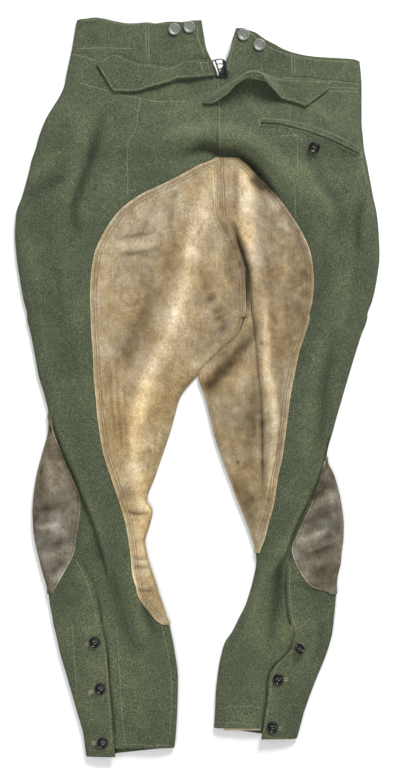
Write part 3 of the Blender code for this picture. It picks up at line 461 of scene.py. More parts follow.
class Half:
    """One half of the breeches: a close grid of points, rows down it and columns round it."""

    def __init__(self, side, sections):
        self.side = side
        self.sign = sign = -1 if side == "left" else 1
        ys, *crossings = zip(*sections)
        rows = [BAND_SEAM + shift for shift in SEAM_ROWS]
        for a, b in zip(ys, ys[1:]):
            count = math.ceil((a - b) / ROW_STEP)
            rows += [a + (b - a) * k / count for k in range(count)]
        rows = [y for y in rows + [ys[-1]]
                if y in (ys[0], BAND_SEAM) or y - BAND_SEAM in SEAM_ROWS
                or abs(y - BAND_SEAM) > SEAM_ROWS[-1] + 1]
        self.y = y = np.array(sorted(rows, reverse=True))
        line = {name: eased(ys, values, y) for name, values in zip(LINES, crossings)}
        bend = np.interp(y, *BEND)
        leg = y < CROTCH
        radius = EDGE / 2
        first, last = PATCH_ROWS[side]
        on_patch = step(y, last, last + EASE) * (1 - step(y, first - EASE, first))
        end = LEATHER_ROWS[side][1]
        on_leather = step(y, end, end + EASE)
        line["outer"] = line["outer"] - sign * (LIFT * on_patch + radius)
        fold = sign * (LIFT * on_leather + radius)
        line["turned"] = line["inner"] + fold * step(-y, -CROTCH - CROTCH_EASE, -CROTCH)
        line["inner"] = line["inner"] + fold * leg
        self.line, self.leg = line, leg

        columns, self.mark = [], {}
        for span in SPANS:
            self.mark[span.start] = len(columns)
            start, end = line[span.start], line[span.end]
            shares = spread(np.abs(end - start), span)
            columns += [start + (end - start) * share for share in shares.T]
            if span.end == "seam":
                self.mark["seam_back"] = len(columns)
                columns.append(end)
        self.mark["outer"] = len(columns)
        columns.append(line["outer"])
        self.upper = len(columns)
        self.under = self.upper + FOLD_STEPS - 1
        self.centre_front = self.under + UNDER_STEPS
        self.inseam = self.centre_front + FOLD_STEPS // 2
        self.columns = self.centre_front + FOLD_STEPS

        x = np.stack(columns, 1)
        self.tall = tall = np.broadcast_to(y[:, None], x.shape)
        flat_y = tall + bend[:, None] * (top_edge(x) - TOP)
        drop = HEM_DROP[side] * np.clip((y[-1] + HEM_RUN[side] - y) / HEM_RUN[side], 0, 1)
        flat_y[:, self.mark["seam"]:] -= drop[:, None]
        z = self.height(x, flat_y, tall)
        points = np.zeros((len(y), self.columns, 3))
        points[:, :self.upper] = np.stack((x, flat_y, z), 2)
        for k in range(1, FOLD_STEPS):
            turn = math.pi * k / FOLD_STEPS
            fx = line["outer"] + sign * radius * math.sin(turn)
            fy = y + bend * (front_edge(fx) - TOP) - drop
            points[:, self.upper + k - 1] = np.stack(
                (fx, fy, radius * (1 + math.cos(turn)) + 0 * y), 1)
            fx = line["inner"] - sign * radius * math.sin(turn)
            points[:, self.centre_front + k] = np.stack(
                (fx, y, radius * (1 - math.cos(turn)) + 0 * y), 1)
        for k in range(UNDER_STEPS + 1):
            share = k / UNDER_STEPS
            fx = line["outer"] + (line["inner"] - line["outer"]) * share
            fy = y + bend * (front_edge(fx) - TOP) - drop * (1 - share)
            points[:, self.under + k] = np.stack((fx, fy, 0 * y), 1)
        self.points = points
        after = np.arange(1, self.columns + 1) % self.columns
        whole = np.ones((len(y) - 1, self.columns), bool)
        whole[:, self.mark["seam_back"]] = False
        whole[:, self.centre_front:] &= leg[:-1, None]
        self.after, self.whole = after, whole
        self.normals = self.facing(points)

    def height(self, x, y, tall):
        """Height of the upper cloth's outer face."""
        line = {name: values[:, None] for name, values in self.line.items()}
        from_inner = (np.maximum(0, self.sign * (x - line["turned"]))
                      + np.maximum(0, tall - CROTCH) * CROTCH_CLIMB)
        body = quarter_round(np.minimum(from_inner, np.abs(line["outer"] - x)) / ROUND_OFF)
        relief = stroked(FOLDS, self.side, x, y)
        for size, rise, seed in LUMPS:
            relief += rise * lumps(x, y, size, seed)
        z = EDGE + (line["crown"] - EDGE) * body + relief * body
        seam = self.mark["seam"]
        from_seam = np.abs(x - line["seam"])
        z[:, :seam] += roll_height(KNEE_ROLL[self.side], tall, from_seam)[:, :seam]
        if self.side == "right":
            lip = self.mark["lip"]
            z[:, lip:seam] += roll_height(INSEAM_ROLL, tall, x - line["lip"])[:, lip:seam]
        flap = FLAP_RISE * np.maximum(0, 1 - from_seam / FLAP_FADE)
        flap *= step(-tall, -UNDERLAP_START - FLAP_EASE, -UNDERLAP_START + FLAP_EASE)
        z[:, seam:] += flap[:, seam:]
        end = SEAM_SHOWS[self.side]
        z += step(tall, end - EASE, end + EASE) * pressed(from_seam, SIDE_SEAM)
        z += pressed(tall - BAND_SEAM, WAIST_SEAM)
        notch, full, start = NOTCH_ROWS
        centre = step(tall, start, full) * (np.abs(x - CENTRE) < CENTRE_REACH) * (tall < notch)
        z += centre * pressed(np.abs(x - line["inner"]), CENTRE_SEAM)
        self.relief = relief * body
        return np.maximum(z, EDGE)

    def facing(self, points):
        """The direction out of the cloth at every point."""
        p = points
        q = p[:, self.after]
        normal = np.cross(p[1:] - q[:-1], q[1:] - p[:-1]) * self.sign
        normal[~self.whole] = 0
        total = np.zeros_like(p)
        total[:-1] += normal
        total[1:] += normal
        total[:-1, self.after] += normal
        total[1:, self.after] += normal
        back, front = self.mark["seam_back"], self.mark["seam"]
        level = np.linalg.norm(p[:, back] - p[:, front], axis=1) < SEAM_LEVEL
        both = total[:, back] + total[:, front]
        total[level, back] = total[level, front] = both[level]
        size = np.linalg.norm(total, axis=2, keepdims=True)
        total[size[..., 0] < 1e-9] = (0, 0, 1)
        return total / np.maximum(np.linalg.norm(total, axis=2, keepdims=True), 1e-9)

    def row(self, y):
        """The row that is nearest to a height."""
        return int(np.argmin(np.abs(self.y - y)))

    def cells(self, first, last, *columns):
        """The cells between two heights on the cut, in some runs of columns."""
        used = np.zeros((len(self.y) - 1, self.columns), bool)
        for start, end in columns:
            used[self.row(first):self.row(last), start:end] = True
        return used & self.whole


# What lies on the finished pieces is seated by looking down on their outer faces
laid_points, laid_faces = [], []


def placed(name, data):
    """A new object in the scene."""
    obj = bpy.data.objects.new(name, data)
    bpy.context.scene.collection.objects.link(obj)
    return obj


def finished(name, points, faces, finish, normals=None):
    """A smooth mesh object from points in millimetres."""
    mesh = bpy.data.meshes.new(name)
    mesh.from_pydata((np.asarray(points) * MM).tolist(), [], faces)
    mesh.materials.append(finish)
    mesh.shade_smooth()
    if normals is not None:
        mesh.normals_split_custom_set_from_vertices(normals.tolist())
    return placed(name, mesh)


def write_look(obj, label, values):
    """A value for each point of a mesh, which its material reads under that label."""
    known = obj.data.attributes.get(label)
    layer = known or obj.data.attributes.new(label, "FLOAT", "POINT")
    layer.data.foreach_set("value", (values + np.zeros(len(obj.data.vertices))).astype(np.float32))


def shell(name, half, used, finish, thickness, layer=None, marks=(), seats=True):
    """A panel: a closed thin wall over some cells, with its own look written on its points."""
    points, normals = layer if layer else (half.points, half.normals)
    rows, columns = np.nonzero(used)
    count = half.columns
    after = half.after[columns]
    quads = np.stack((rows * count + columns, rows * count + after,
                      (rows + 1) * count + after, (rows + 1) * count + columns), 1)
    places, index = np.unique(quads, return_inverse=True)
    quads = index.reshape(-1, 4)
    outer = points.reshape(-1, 3)[places]
    out = normals.reshape(-1, 3)[places]
    if seats:
        start = sum(len(found) for found in laid_points)
        laid_points.append(outer)
        laid_faces.append(quads + start)
    total = len(places)
    start, end = quads.ravel(), np.roll(quads, -1, axis=1).ravel()
    edge = start * total + end
    free = ~np.isin(edge, end * total + start)
    start, end = start[free], end[free]
    sides = np.stack((end, start, start + total, end + total), 1)
    faces = np.concatenate((quads, quads[:, ::-1] + total, sides))
    if half.sign > 0:
        faces = faces[:, ::-1]
    obj = finished(name, np.concatenate((outer, outer - out * thickness)), faces.tolist(),
                   finish, np.concatenate((out, -out)))
    for label, values in marks:
        write_look(obj, label, np.tile(values.ravel()[places], 2))
    return obj


left, right = Half("left", LEFT), Half("right", RIGHT)

# Places where wear and painted light show besides on the folds: strokes as for the folds, with a
# strength instead of the rise. Pale ones are partly rubbed and partly painted light and highlight;
# dark ones are partly stains and partly painted shade in creases and shadows under edges and
# flaps.
PALE_WEAR_AND_LIGHT = {"both": (), "left": (
    # Painted light: the left calf is painted lighter, as if more light fell on it.
    (60, 60, 0.42, (84, 600), (100, 650), (116, 700), (130, 760)),
    # Painted highlight along the top of the left knee's rolled edge.
    (3, 5, 0.24, (52, 414), (64, 440), (78, 474), (90, 506), (101, 540), (109, 570)),
    (5, 5, 0.16, (137, 600), (143, 626), (150, 640)),
    (9, 9, 0.18, (202, 196), (202, 220), (192, 243), (188, 270), (180, 305), (166, 342)),
    (7, 7, 0.26, (158, 360), (146, 388), (140, 412), (135, 442), (134, 470)),
    (12, 12, 0.42, (140, 470), (144, 496), (148, 512), (144, 530), (145, 552), (150, 582)),
    (6, 6, 0.24, (152, 577), (158, 590), (164, 606)),
    (18, 18, 0.12, (106, 236), (104, 290), (106, 350)),
    (3, 3, 0.3, (213, 158), (213, 176), (216, 200), (224, 218)),
    (3, 3, 0.24, (204, 232), (190, 252), (186, 270)),
    (20, 20, 0.16, (118, 500), (126, 520), (132, 545)),
    (5, 5, 0.22, (40, 560), (50, 556), (60, 550)),
    (4, 4, 0.2, (44, 452), (50, 466), (52, 490)),
    (5, 5, 0.34, (35, 528), (48, 526), (62, 523)),
    (3, 3, 0.16, (36, 240), (40, 310), (56, 390), (78, 462)),
    (4, 4, 0.14, (66, 250), (66, 320), (80, 400), (96, 470)),
    (5, 5, 0.14, (128, 160), (124, 190), (108, 212)),
    (8, 8, 0.16, (52, 470), (56, 500), (58, 550)),
    (7, 7, 0.14, (26, 178), (44, 167), (63, 154)),
), "right": (
    # Painted light: the right calf is painted lighter, as if more light fell on it.
    (50, 50, 0.34, (290, 590), (276, 640), (262, 690), (250, 760)),
    # Painted highlight along the top of the right knee's rolled edge.
    (5, 3, 0.24, (324, 458), (314, 480), (302, 505), (292, 530), (282, 552)),
    (6, 6, 0.16, (263, 590), (260, 620), (259, 650)),
    (10, 10, 0.42, (241, 176), (246, 200), (247, 224), (252, 246)),
    (10, 10, 0.14, (234, 384), (232, 400), (236, 420)),
    (4, 5, 0.32, (265, 300), (266, 341), (267, 372), (271, 394), (274, 430)),
    (4, 5, 0.22, (273, 440), (271, 470), (268, 500)),
    (10, 10, 0.12, (270, 200), (280, 226), (286, 250)),
    (3, 3, 0.3, (300, 512), (318, 506), (338, 500)),
    (3, 3, 0.26, (302, 556), (318, 548), (338, 540)),
    (3, 3, 0.16, (352, 236), (346, 300), (334, 360), (322, 420)),
    (5, 5, 0.14, (322, 260), (322, 320), (312, 380), (304, 430)),
    (6, 6, 0.16, (290, 150), (306, 190), (322, 226)),
    (5, 5, 0.4, (306, 504), (322, 499), (336, 494)),
    (5, 5, 0.38, (294, 543), (312, 536), (332, 529)),
    (8, 8, 0.14, (301, 166), (312, 190), (330, 216)),
)}
STAINS_AND_SHADOWS = {"both": (
    (3, 3, 0.42, (218, 160), (218, 190), (220, 214), (229, 234), (238, 254), (244, 280),
        (246, 306)),
    # Painted shadow under the seat's overhanging fold, along the leather's top edge.
    (6, 4, 0.55, (188, 153), (206, 144), (224.5, 151), (236, 152), (245, 158.5), (255, 169),
        (274, 193)),
), "left": (
    # Painted shadow cast by the left knee's folded edge onto the patch.
    (6, 1.6, 0.55, (48, 412), (57, 434), (65, 458), (76, 480), (84, 504), (91, 518), (97, 540),
        (103, 558), (107, 572), (111, 584)),
    # Painted shadow cast by the left calf opening's raised edge, along its upper and lower run.
    (1.6, 2.2, 0.85, (79, 554), (85.4, 568), (92.3, 579), (95.8, 592), (99.2, 606), (101.3, 623)),
    (1.2, 3, 0.85, (101, 618), (104.8, 634), (107, 651), (109.1, 675), (111.3, 702), (113.4, 725),
        (115, 753)),
    (34, 34, 0.14, (120, 260), (112, 320), (112, 380), (116, 450)),
    (14, 14, 0.2, (214, 200), (226, 244), (236, 290), (222, 326), (196, 362)),
    (12, 12, 0.22, (178, 184), (168, 202), (148, 214)),
    (12, 12, 0.28, (44, 440), (40, 480), (42, 520)),
    (9, 9, 0.44, (40, 548), (54, 544), (68, 540)),
    (6, 6, 0.46, (36, 512), (52, 508), (66, 504)),
    (7, 7, 0.46, (46, 574), (58, 568), (68, 560)),
    (16, 12, 0.16, (142, 262), (152, 280), (166, 292)),
    (14, 14, 0.18, (176, 262), (206, 268), (214, 290)),
    (9, 7, 0.26, (140, 280), (151, 289)),
    (7, 7, 0.26, (172, 244), (184, 250)),
    (5, 5, 0.34, (196, 246), (202, 249)),
    (6, 6, 0.34, (143, 225), (149, 227)),
    (24, 24, 0.16, (152, 240), (168, 262), (186, 288)),
    (16, 10, 0.26, (226, 250), (238, 290), (226, 322), (200, 350)),
    (2.6, 2.6, 0.3, (130, 287), (137, 290), (139, 297), (136, 304), (129, 305), (122, 301),
        (121, 294), (124, 289), (130, 287)),
    (2.6, 2.6, 0.34, (121, 238.5), (136, 236), (153, 233.5)),
    (2.4, 2.4, 0.34, (120, 255), (140, 252), (160, 249)),
    (15, 15, 0.2, (134, 328), (148, 338), (158, 345)),
    (8, 8, 0.3, (118, 480), (124, 492), (128, 504)),
    (3.4, 3.4, 0.5, (126, 512), (138, 514), (151, 512.5)),
    (2.8, 2.8, 0.45, (132, 558), (141, 559), (149, 558)),
    (2.8, 2.8, 0.45, (133, 566), (143, 567.5), (152, 566)),
    (2.6, 2.6, 0.4, (135, 590), (146, 591), (155, 590)),
    (2.6, 2.6, 0.3, (202, 278), (210, 298), (218, 316), (225, 335)),
    (2.6, 2.6, 0.34, (203, 222), (198, 236), (191, 249)),
    (10, 12, 0.22, (160, 290), (140, 322), (122, 366)),
    (3.4, 3.4, 0.45, (49, 428), (52, 430)),
    (3.4, 3.4, 0.45, (39, 472), (42, 474)),
    (5, 6, 0.3, (84, 500), (80, 520), (77, 545), (70, 566), (58, 586)),
    (6, 5, 0.36, (103, 120), (94, 150), (87.6, 169), (80, 190), (75, 210), (77, 230)),
    (7, 7, 0.22, (26, 198), (46, 187), (68, 175)),
    (9, 7, 0.25, (104, 112), (110, 108), (117, 116)),
    (6, 6, 0.2, (94, 34), (92, 44)),
    (6, 6, 0.24, (128, 592), (136, 638), (146, 662)),
    (6, 6, 0.22, (144, 606), (151, 624), (160, 640)),
    (26, 26, 0.13, (62, 140), (50, 190), (46, 250)),
), "right": (
    # Painted shadow cast by the right knee's folded edge onto the patch.
    (1.6, 6, 0.55, (328, 457), (318, 480), (311, 498), (300, 517), (294, 533), (287, 550),
        (281, 560)),
    # Painted shadow cast by the right calf opening's raised edge, along its upper and lower run.
    (2.2, 1.6, 0.8, (287, 561), (286, 585), (287, 603), (289.5, 619), (293, 630)),
    (3.2, 1.2, 0.9, (294, 631), (292, 644), (287, 654.6), (277, 663), (270.7, 671), (268, 680),
        (267.3, 696), (264.8, 711), (262, 725), (260, 737)),
    # Painted shade along the pocket's slit.
    (1.5, 1.5, 0.95, (259, 123), (274, 124.4), (293, 128.8), (311, 135), (330, 143.6), (346, 150),
        (360, 155.6)),
    (7, 7, 0.34, (280, 566), (277, 585), (275, 610), (272, 634)),
    (24, 24, 0.3, (270, 185), (286, 225), (296, 262), (296, 320), (286, 380)),
    (34, 34, 0.34, (236, 345), (226, 385), (242, 430), (250, 480), (256, 520)),
    (12, 12, 0.2, (268, 320), (276, 360), (278, 420), (270, 480)),
    (18, 18, 0.13, (234, 366), (230, 400), (240, 432)),
    # Painted shadow under the seat's fold on the right, along the leather's top edge.
    (6, 4, 0.6, (237, 156), (247, 161), (257, 171), (275, 196)),
    (9, 9, 0.46, (330, 480), (322, 488), (312, 500)),
    (7, 7, 0.5, (296, 556), (314, 552), (334, 546)),
    (6, 6, 0.42, (310, 575), (322, 570), (334, 560)),
    # Painted shadow under the green fold at the right leather's top.
    (6, 6, 0.75, (249, 179), (256, 184), (265, 191)),
    # Painted shade in the deep crease left of the right leather's ridge.
    (4, 5, 0.55, (232, 222), (240, 248), (247, 272), (247, 296), (246, 316)),
    (5, 5, 0.45, (236, 168), (236, 190), (234, 212)),
    (9, 6, 0.42, (257, 330), (244, 346), (228, 366), (211, 384), (203, 403)),
    (9, 9, 0.3, (252, 350), (254, 400), (256, 440)),
    (14, 12, 0.32, (240, 480), (250, 505), (258, 535)),
    (2.6, 2.6, 0.5, (261, 342), (263, 345)),
    (2.6, 2.6, 0.5, (237, 461), (240, 463)),
    (3, 4, 0.4, (262, 400), (263, 440), (262, 480)),
    (6, 6, 0.22, (296, 236), (306, 268), (304, 300)),
    (34, 30, 0.22, (262, 190), (276, 240), (284, 300), (282, 360)),
    (10, 10, 0.3, (236, 322), (228, 340), (214, 362)),
    (6, 6, 0.36, (300, 525), (316, 517), (336, 511)),
    (5, 6, 0.3, (292, 552), (300, 568), (312, 582), (328, 594)),
    (5, 4, 0.3, (363, 200), (358.5, 220), (357.6, 252)),
    (6, 6, 0.26, (338, 334), (327, 378), (324, 408), (320, 456)),
    (4, 5, 0.45, (279, 566), (280, 590), (278, 610)),
    (30, 30, 0.2, (340, 470), (330, 510), (320, 560)),
)}
# Wear and painted light: what plain cloth has, and the height of a fold that adds 1 and the most
# it may add, so that ridges are painted lighter and troughs darker; the size, strength and seed of
# the blotches in the stains and painted shadows, and how much darker the underside and the
# inseam's edge are
PLAIN, WEAR_AND_SHADE_BY_HEIGHT, WEAR_AND_SHADE_MOST = 0.5, 9.0, 0.35
BLOTCHES = (9, 0.5, 2.2)
UNDER_DARKENING, INSEAM_DARKENING = 0.10, 0.80


class Look:
    """A material under construction: values that vary over the surface, and what they drive."""

    def __init__(self, name):
        self.made = bpy.data.materials.new(name)
        self.made.use_nodes = True
        self.shader = self.made.node_tree.nodes["Principled BSDF"]
        self.place = self.add("ShaderNodeTexCoord").outputs["Object"]

    def add(self, kind, **values):
        """A node with some values of its sockets and settings."""
        node = self.made.node_tree.nodes.new(kind)
        for key, value in values.items():
            if key in node.inputs:
                node.inputs[key].default_value = value
            else:
                setattr(node, key, value)
        return node

    def link(self, source, target):
        """A wire from an output to an input."""
        self.made.node_tree.links.new(source, target)

    def pattern(self, kind, output="Fac", **values):
        """A texture over the piece's own place."""
        node = self.add(kind, **values)
        self.link(self.place, node.inputs["Vector"])
        return node.outputs[output]

    def noise(self, scale, detail=3.0, roughness=0.6, turn=None, stretch=None):
        """A noise in features of about 1/scale metres, drawn out along one direction if asked."""
        node = self.add("ShaderNodeTexNoise", Scale=scale, Detail=detail, Roughness=roughness)
        place = self.place
        if stretch:
            mapped = self.add("ShaderNodeMapping", Rotation=(0, 0, turn), Scale=(1, stretch, 1))
            self.link(place, mapped.inputs["Vector"])
            place = mapped.outputs["Vector"]
        self.link(place, node.inputs["Vector"])
        return node.outputs["Fac"]

    def written(self, label):
        """A value that write_look wrote on the mesh."""
        return self.add("ShaderNodeAttribute", attribute_name=label).outputs["Fac"]

    def ramp(self, source, *stops):
        """A colour or grey that follows another value through some stops."""
        node = self.add("ShaderNodeValToRGB")
        band = node.color_ramp
        while len(band.elements) < len(stops):
            band.elements.new(0.5)
        for element, (place, colour) in zip(band.elements, stops):
            element.position = place
            element.color = (*colour, 1.0) if isinstance(colour, tuple) else (colour,) * 3 + (1.0,)
        self.link(source, node.inputs["Fac"])
        return node.outputs["Color"]

    def times(self, colour, *layers):
        """A colour multiplied by some layers, one after the other."""
        for layer in layers:
            node = self.add("ShaderNodeMix", data_type="RGBA", blend_type="MULTIPLY")
            node.inputs[0].default_value = 1.0
            self.link(colour, node.inputs[6])
            self.link(layer, node.inputs[7])
            colour = node.outputs[2]
        return colour

    def summed(self, first, share, second):
        """A share of the first value added to the second."""
        node = self.add("ShaderNodeMath", operation="MULTIPLY_ADD")
        self.link(first, node.inputs[0])
        node.inputs[1].default_value = share
        self.link(second, node.inputs[2])
        return node.outputs[0]

    def finish(self, colour, roughness, height, strength, distance, **fixed):
        """Colour, roughness and bumps, with the values that are the same all over."""
        bump = self.add("ShaderNodeBump", Strength=strength, Distance=distance)
        self.link(height, bump.inputs["Height"])
        for source, name in ((colour, "Base Color"), (roughness, "Roughness"),
                             (bump.outputs["Normal"], "Normal")):
            self.link(source, self.shader.inputs[name])
        for name, value in fixed.items():
            self.shader.inputs[name.replace("_", " ")].default_value = value
        return self.made


def wool_material():
    """Grey-green twill, felted so that its ribs blur, with pale, yellowish and dark hairs."""
    look = Look("green_felted_wool")
    ribs = look.pattern("ShaderNodeTexWave", Scale=235.0, Distortion=2.2, Detail=2.0,
                        bands_direction="DIAGONAL", **{"Detail Scale": 60.0})
    hairs, fine = look.noise(640.0, 4.0, 0.75), look.noise(1500.0, 2.0, 0.6)
    base = look.ramp(hairs, (0.32, (0.025, 0.035, 0.022)), (0.43, (0.060, 0.076, 0.045)),
                     (0.51, (0.091, 0.111, 0.067)), (0.59, (0.140, 0.163, 0.104)),
                     (0.68, (0.260, 0.278, 0.195)))
    yellow = look.ramp(look.noise(620.0, 3.0, 0.65, 0.7, 0.45), (0.36, (0.80, 0.84, 0.86)),
                       (0.5, 1.0), (0.70, (1.26, 1.22, 1.08)))
    tone = look.ramp(look.noise(16.0, 5.0, 0.62), (0.32, (0.84, 0.86, 0.86)),
                     (0.5, 1.0), (0.68, (1.14, 1.12, 1.06)))
    spot = look.ramp(look.noise(60.0, 4.0, 0.6), (0.34, (0.91, 0.92, 0.92)),
                     (0.5, 1.0), (0.68, (1.07, 1.06, 1.03)))
    rib_tone = look.ramp(ribs, (0.0, 0.84), (1.0, 1.10))
    # The first value lightens rubbed places and painted highlights and darkens painted crease
    # shade; the second darkens stains and painted shadows.
    wear_and_light_tone = look.ramp(look.written("worn"), (0.0, (0.60, 0.60, 0.58)), (0.5, 1.0),
                    (1.0, (1.45, 1.40, 1.30)))
    dirt_and_shade = look.ramp(look.written("stain"), (0.0, 1.0), (1.0, (0.34, 0.34, 0.32)))
    return look.finish(look.times(base, yellow, tone, spot, rib_tone, wear_and_light_tone, dirt_and_shade),
                       look.ramp(hairs, (0.3, 0.98), (0.7, 0.86)),
                       look.summed(fine, 0.6, look.summed(ribs, 0.5, hairs)), 0.9, 0.0012,
                       Specular_IOR_Level=0.12, Sheen_Weight=0.12, Sheen_Roughness=0.5,
                       Sheen_Tint=(0.80, 0.85, 0.62, 1))


green = wool_material()


def looks(half):
    """How light and how dark the cloth is painted at each point of a half's grid: rubbed wear and
    painted highlight, stains and painted shade.
    """
    x, y = half.points[:, :half.upper, 0], half.points[:, :half.upper, 1]
    worn = np.full(half.points.shape[:2], PLAIN)
    # Ridges are painted lighter and troughs darker by their height: partly rubbed wear, partly
    # painted highlight and shade in the creases.
    worn[:, :half.upper] += np.clip(half.relief / WEAR_AND_SHADE_BY_HEIGHT, -WEAR_AND_SHADE_MOST, WEAR_AND_SHADE_MOST)
    worn[:, :half.upper] += stroked(PALE_WEAR_AND_LIGHT, half.side, x, y)
    stain = np.zeros(half.points.shape[:2])
    size, strength, seed = BLOTCHES
    blotches = 1 + strength * lumps(x, y, size, seed)
    stain[:, :half.upper] = stroked(STAINS_AND_SHADOWS, half.side, x, y) * blotches
    stain[:, half.upper:half.centre_front] = UNDER_DARKENING
    stain[~half.leg, half.centre_front] = INSEAM_DARKENING
    return ("worn", np.clip(worn, 0, 1)), ("stain", np.clip(stain, 0, 1))


def own(obj, slot, *nodes):
    """The piece rides with the breeches and stands for those solids, which it hides; its slot is
    not used.
    """
    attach(obj, "root")
    if nodes:
        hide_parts(*nodes)
    return obj


# Each cut piece lies flat on the table before it is sewn: its width, length and area in metres
Cut = namedtuple("Cut", "width length area")


def cut_piece(obj, slot, nodes, cut, *rests_on):
    """A sheet of cloth or leather, kept as any other piece; its cut and what it rests on are not
    used.
    """
    own(obj, slot, *nodes)
    return obj


WOOL_CUTS = {
    "wool_back_left": Cut(0.30, 1.00, 0.140), "wool_front_left": Cut(0.36, 1.02, 0.290),
    "wool_back_right": Cut(0.19, 0.96, 0.088), "wool_front_right": Cut(0.34, 0.96, 0.242),
    "band_back_left": Cut(0.085, 0.040, 0.0033), "band_front_left": Cut(0.30, 0.038, 0.0113),
    "band_back_right": Cut(0.092, 0.039, 0.0035), "band_front_right": Cut(0.30, 0.037, 0.0110),
}


def make_wool(half):
    """The back and the front panel of one half, and the waistband over each."""
    side, mark = half.side, half.mark
    back_end = (0, mark["seam_back"])
    front_start = (mark["seam"], half.centre_front)
    if side == "left":
        back_leg = (back_end, (half.inseam, half.columns))
        front_leg = ((mark["seam"], half.inseam),)
    else:
        back_leg = ((mark["lip"], mark["seam_back"]),)
        front_leg = ((mark["seam"], half.columns), (0, mark["lip"]))
    hem = half.y[-1]
    look = looks(half)
    back = (half.cells(BAND_SEAM, CROTCH - 1, back_end)
            | half.cells(CROTCH - 1, hem, *back_leg))
    front = (half.cells(BAND_SEAM, CROTCH - 1, front_start)
             | half.cells(CROTCH - 1, hem, *front_leg))
    for name, node, used, thickness in (
            ("wool_back_", "back_", back, WOOL), ("wool_front_", "front_", front, WOOL),
            ("band_back_", "waistband_back_", half.cells(TOP, BAND_SEAM, back_end), BAND),
            ("band_front_", "waistband_front_", half.cells(TOP, BAND_SEAM, front_start), BAND)):
        cut_piece(shell(name + side, half, used, green, thickness, marks=look),
                  "wool_green", [node + side], WOOL_CUTS[name + side])


make_wool(left)
make_wool(right)

# ---------------------------------------------------------------- seat, inner and knee leather
# Tan split leather over the seat and inner thighs, and grey-brown patches on the knees. They lie
# on the wool with a turned edge under two rows of topstitching, pale and creased from riding.
LEATHER = 1.5
RIM_ROWS, PATCH_RIM_ROWS = (5.5, 9.0), (4.0, 6.5)
# The turned edge: over what width and how deep it rounds off, and the stitch rows' grooves
RIM_TURN, RIM_DROP, ROW_GROOVE = 1.8, 0.9, (0.42, 1.1)
# Beyond this distance from the edge the leather is plain, in millimetres
FAR = 40.0
# The seam at the inner line counts as an edge too, shifted a little, and only above the crotch
SEAM_ROW_SHIFT, SEAM_ROWS_END = 0.6, CROTCH + 6


def leather_material(name, tones, marks, line_rows, edge_highlight, sewn):
    """Split leather: its tones, its tone from painted crease shade to rubbed and painted-light
    places, the distances of its stitch rows from the edge, how much lighter its turned edge is
    painted as a highlight, and how light those rows are."""
    look = Look(name)
    smear, grain, nap = (look.noise(75.0, 6.0, 0.72, 0.6, 0.7), look.noise(300.0, 4.0, 0.7),
                         look.noise(1300.0, 3.0, 0.65))
    base = look.ramp(look.noise(26.0, 8.0, 0.70), *tones)
    streak = look.ramp(smear, (0.30, (0.78, 0.76, 0.74)), (0.5, 1.0),
                       (0.70, (1.20, 1.21, 1.22)))
    speck = look.ramp(grain, (0.30, 0.76), (0.5, 1.0), (0.72, 1.18))
    fine = look.ramp(nap, (0.3, 0.90), (0.7, 1.08))
    cracks = look.pattern("ShaderNodeTexVoronoi", "Distance", Scale=210.0,
                          feature="DISTANCE_TO_EDGE")
    crack = look.ramp(cracks, (0.0, 0.80), (0.10, 1.0))
    scored = look.ramp(look.noise(300.0, 3.0, 0.7, -0.6, 0.10), (0.28, 0.74), (0.40, 1.0),
                       (0.62, 1.0), (0.72, 1.32))
    crossed = look.ramp(look.noise(260.0, 3.0, 0.7, 1.1, 0.12), (0.28, 0.76), (0.40, 1.0),
                        (0.62, 1.0), (0.72, 1.26))
    shades = look.ramp(look.noise(13.0, 6.0, 0.62), (0.34, (1.06, 0.99, 0.86)),
                       (0.46, (1.02, 1.0, 0.95)), (0.56, (0.97, 0.98, 1.02)),
                       (0.68, (0.94, 0.98, 1.10)))
    scuffed = look.ramp(look.noise(46.0, 9.0, 0.80), (0.28, (0.62, 0.58, 0.52)),
                        (0.42, (0.92, 0.91, 0.90)), (0.54, 1.0),
                        (0.62, (1.10, 1.11, 1.13)), (0.72, (1.34, 1.36, 1.40)))
    split = look.pattern("ShaderNodeSeparateXYZ", "Y")
    down = look.add("ShaderNodeMapRange", **{"From Min": -0.20, "From Max": 0.22})
    look.link(split, down.inputs["Value"])
    warm = look.ramp(down.outputs["Result"], (0.0, (1.05, 1.04, 0.96)), (0.45, (1.04, 1.02, 0.95)),
                     (1.0, (0.99, 1.0, 1.03)))
    # The first value lightens rubbed places and painted highlights and darkens painted crease
    # shade; the second darkens stains and painted shadows.
    wear_and_light_tone = look.ramp(look.written("worn"), *marks)
    dirt_and_shade = look.ramp(look.summed(grain, 0.5, look.written("stain")), (0.30, 1.0),
                     (0.75, (0.55, 0.53, 0.50)), (1.0, (0.28, 0.26, 0.24)))
    first, second = (row / FAR for row in line_rows)
    wide = 0.7 / FAR
    # The turned edge is painted lighter, as a highlight along it; the stitch rows take their own
    # tone.
    edge = look.ramp(
        look.written("rim"), (0.0, edge_highlight), (0.9 / FAR, 1.0 + (edge_highlight - 1.0) / 2), (2.0 / FAR, 0.90),
        (first - wide, 0.90), (first, sewn), (first + wide, 1.02), (second - wide, 0.96),
        (second, sewn), (second + wide, 1.02), (16 / FAR, 1.0))
    colour = look.times(base, streak, speck, fine, crack, scored, crossed, shades, scuffed, warm,
                        wear_and_light_tone, dirt_and_shade, edge)
    return look.finish(colour, look.ramp(smear, (0.3, 0.88), (0.7, 0.68)),
                       look.summed(smear, 0.8, look.summed(nap, 0.4, grain)), 0.8, 0.0012,
                       Specular_IOR_Level=0.22)


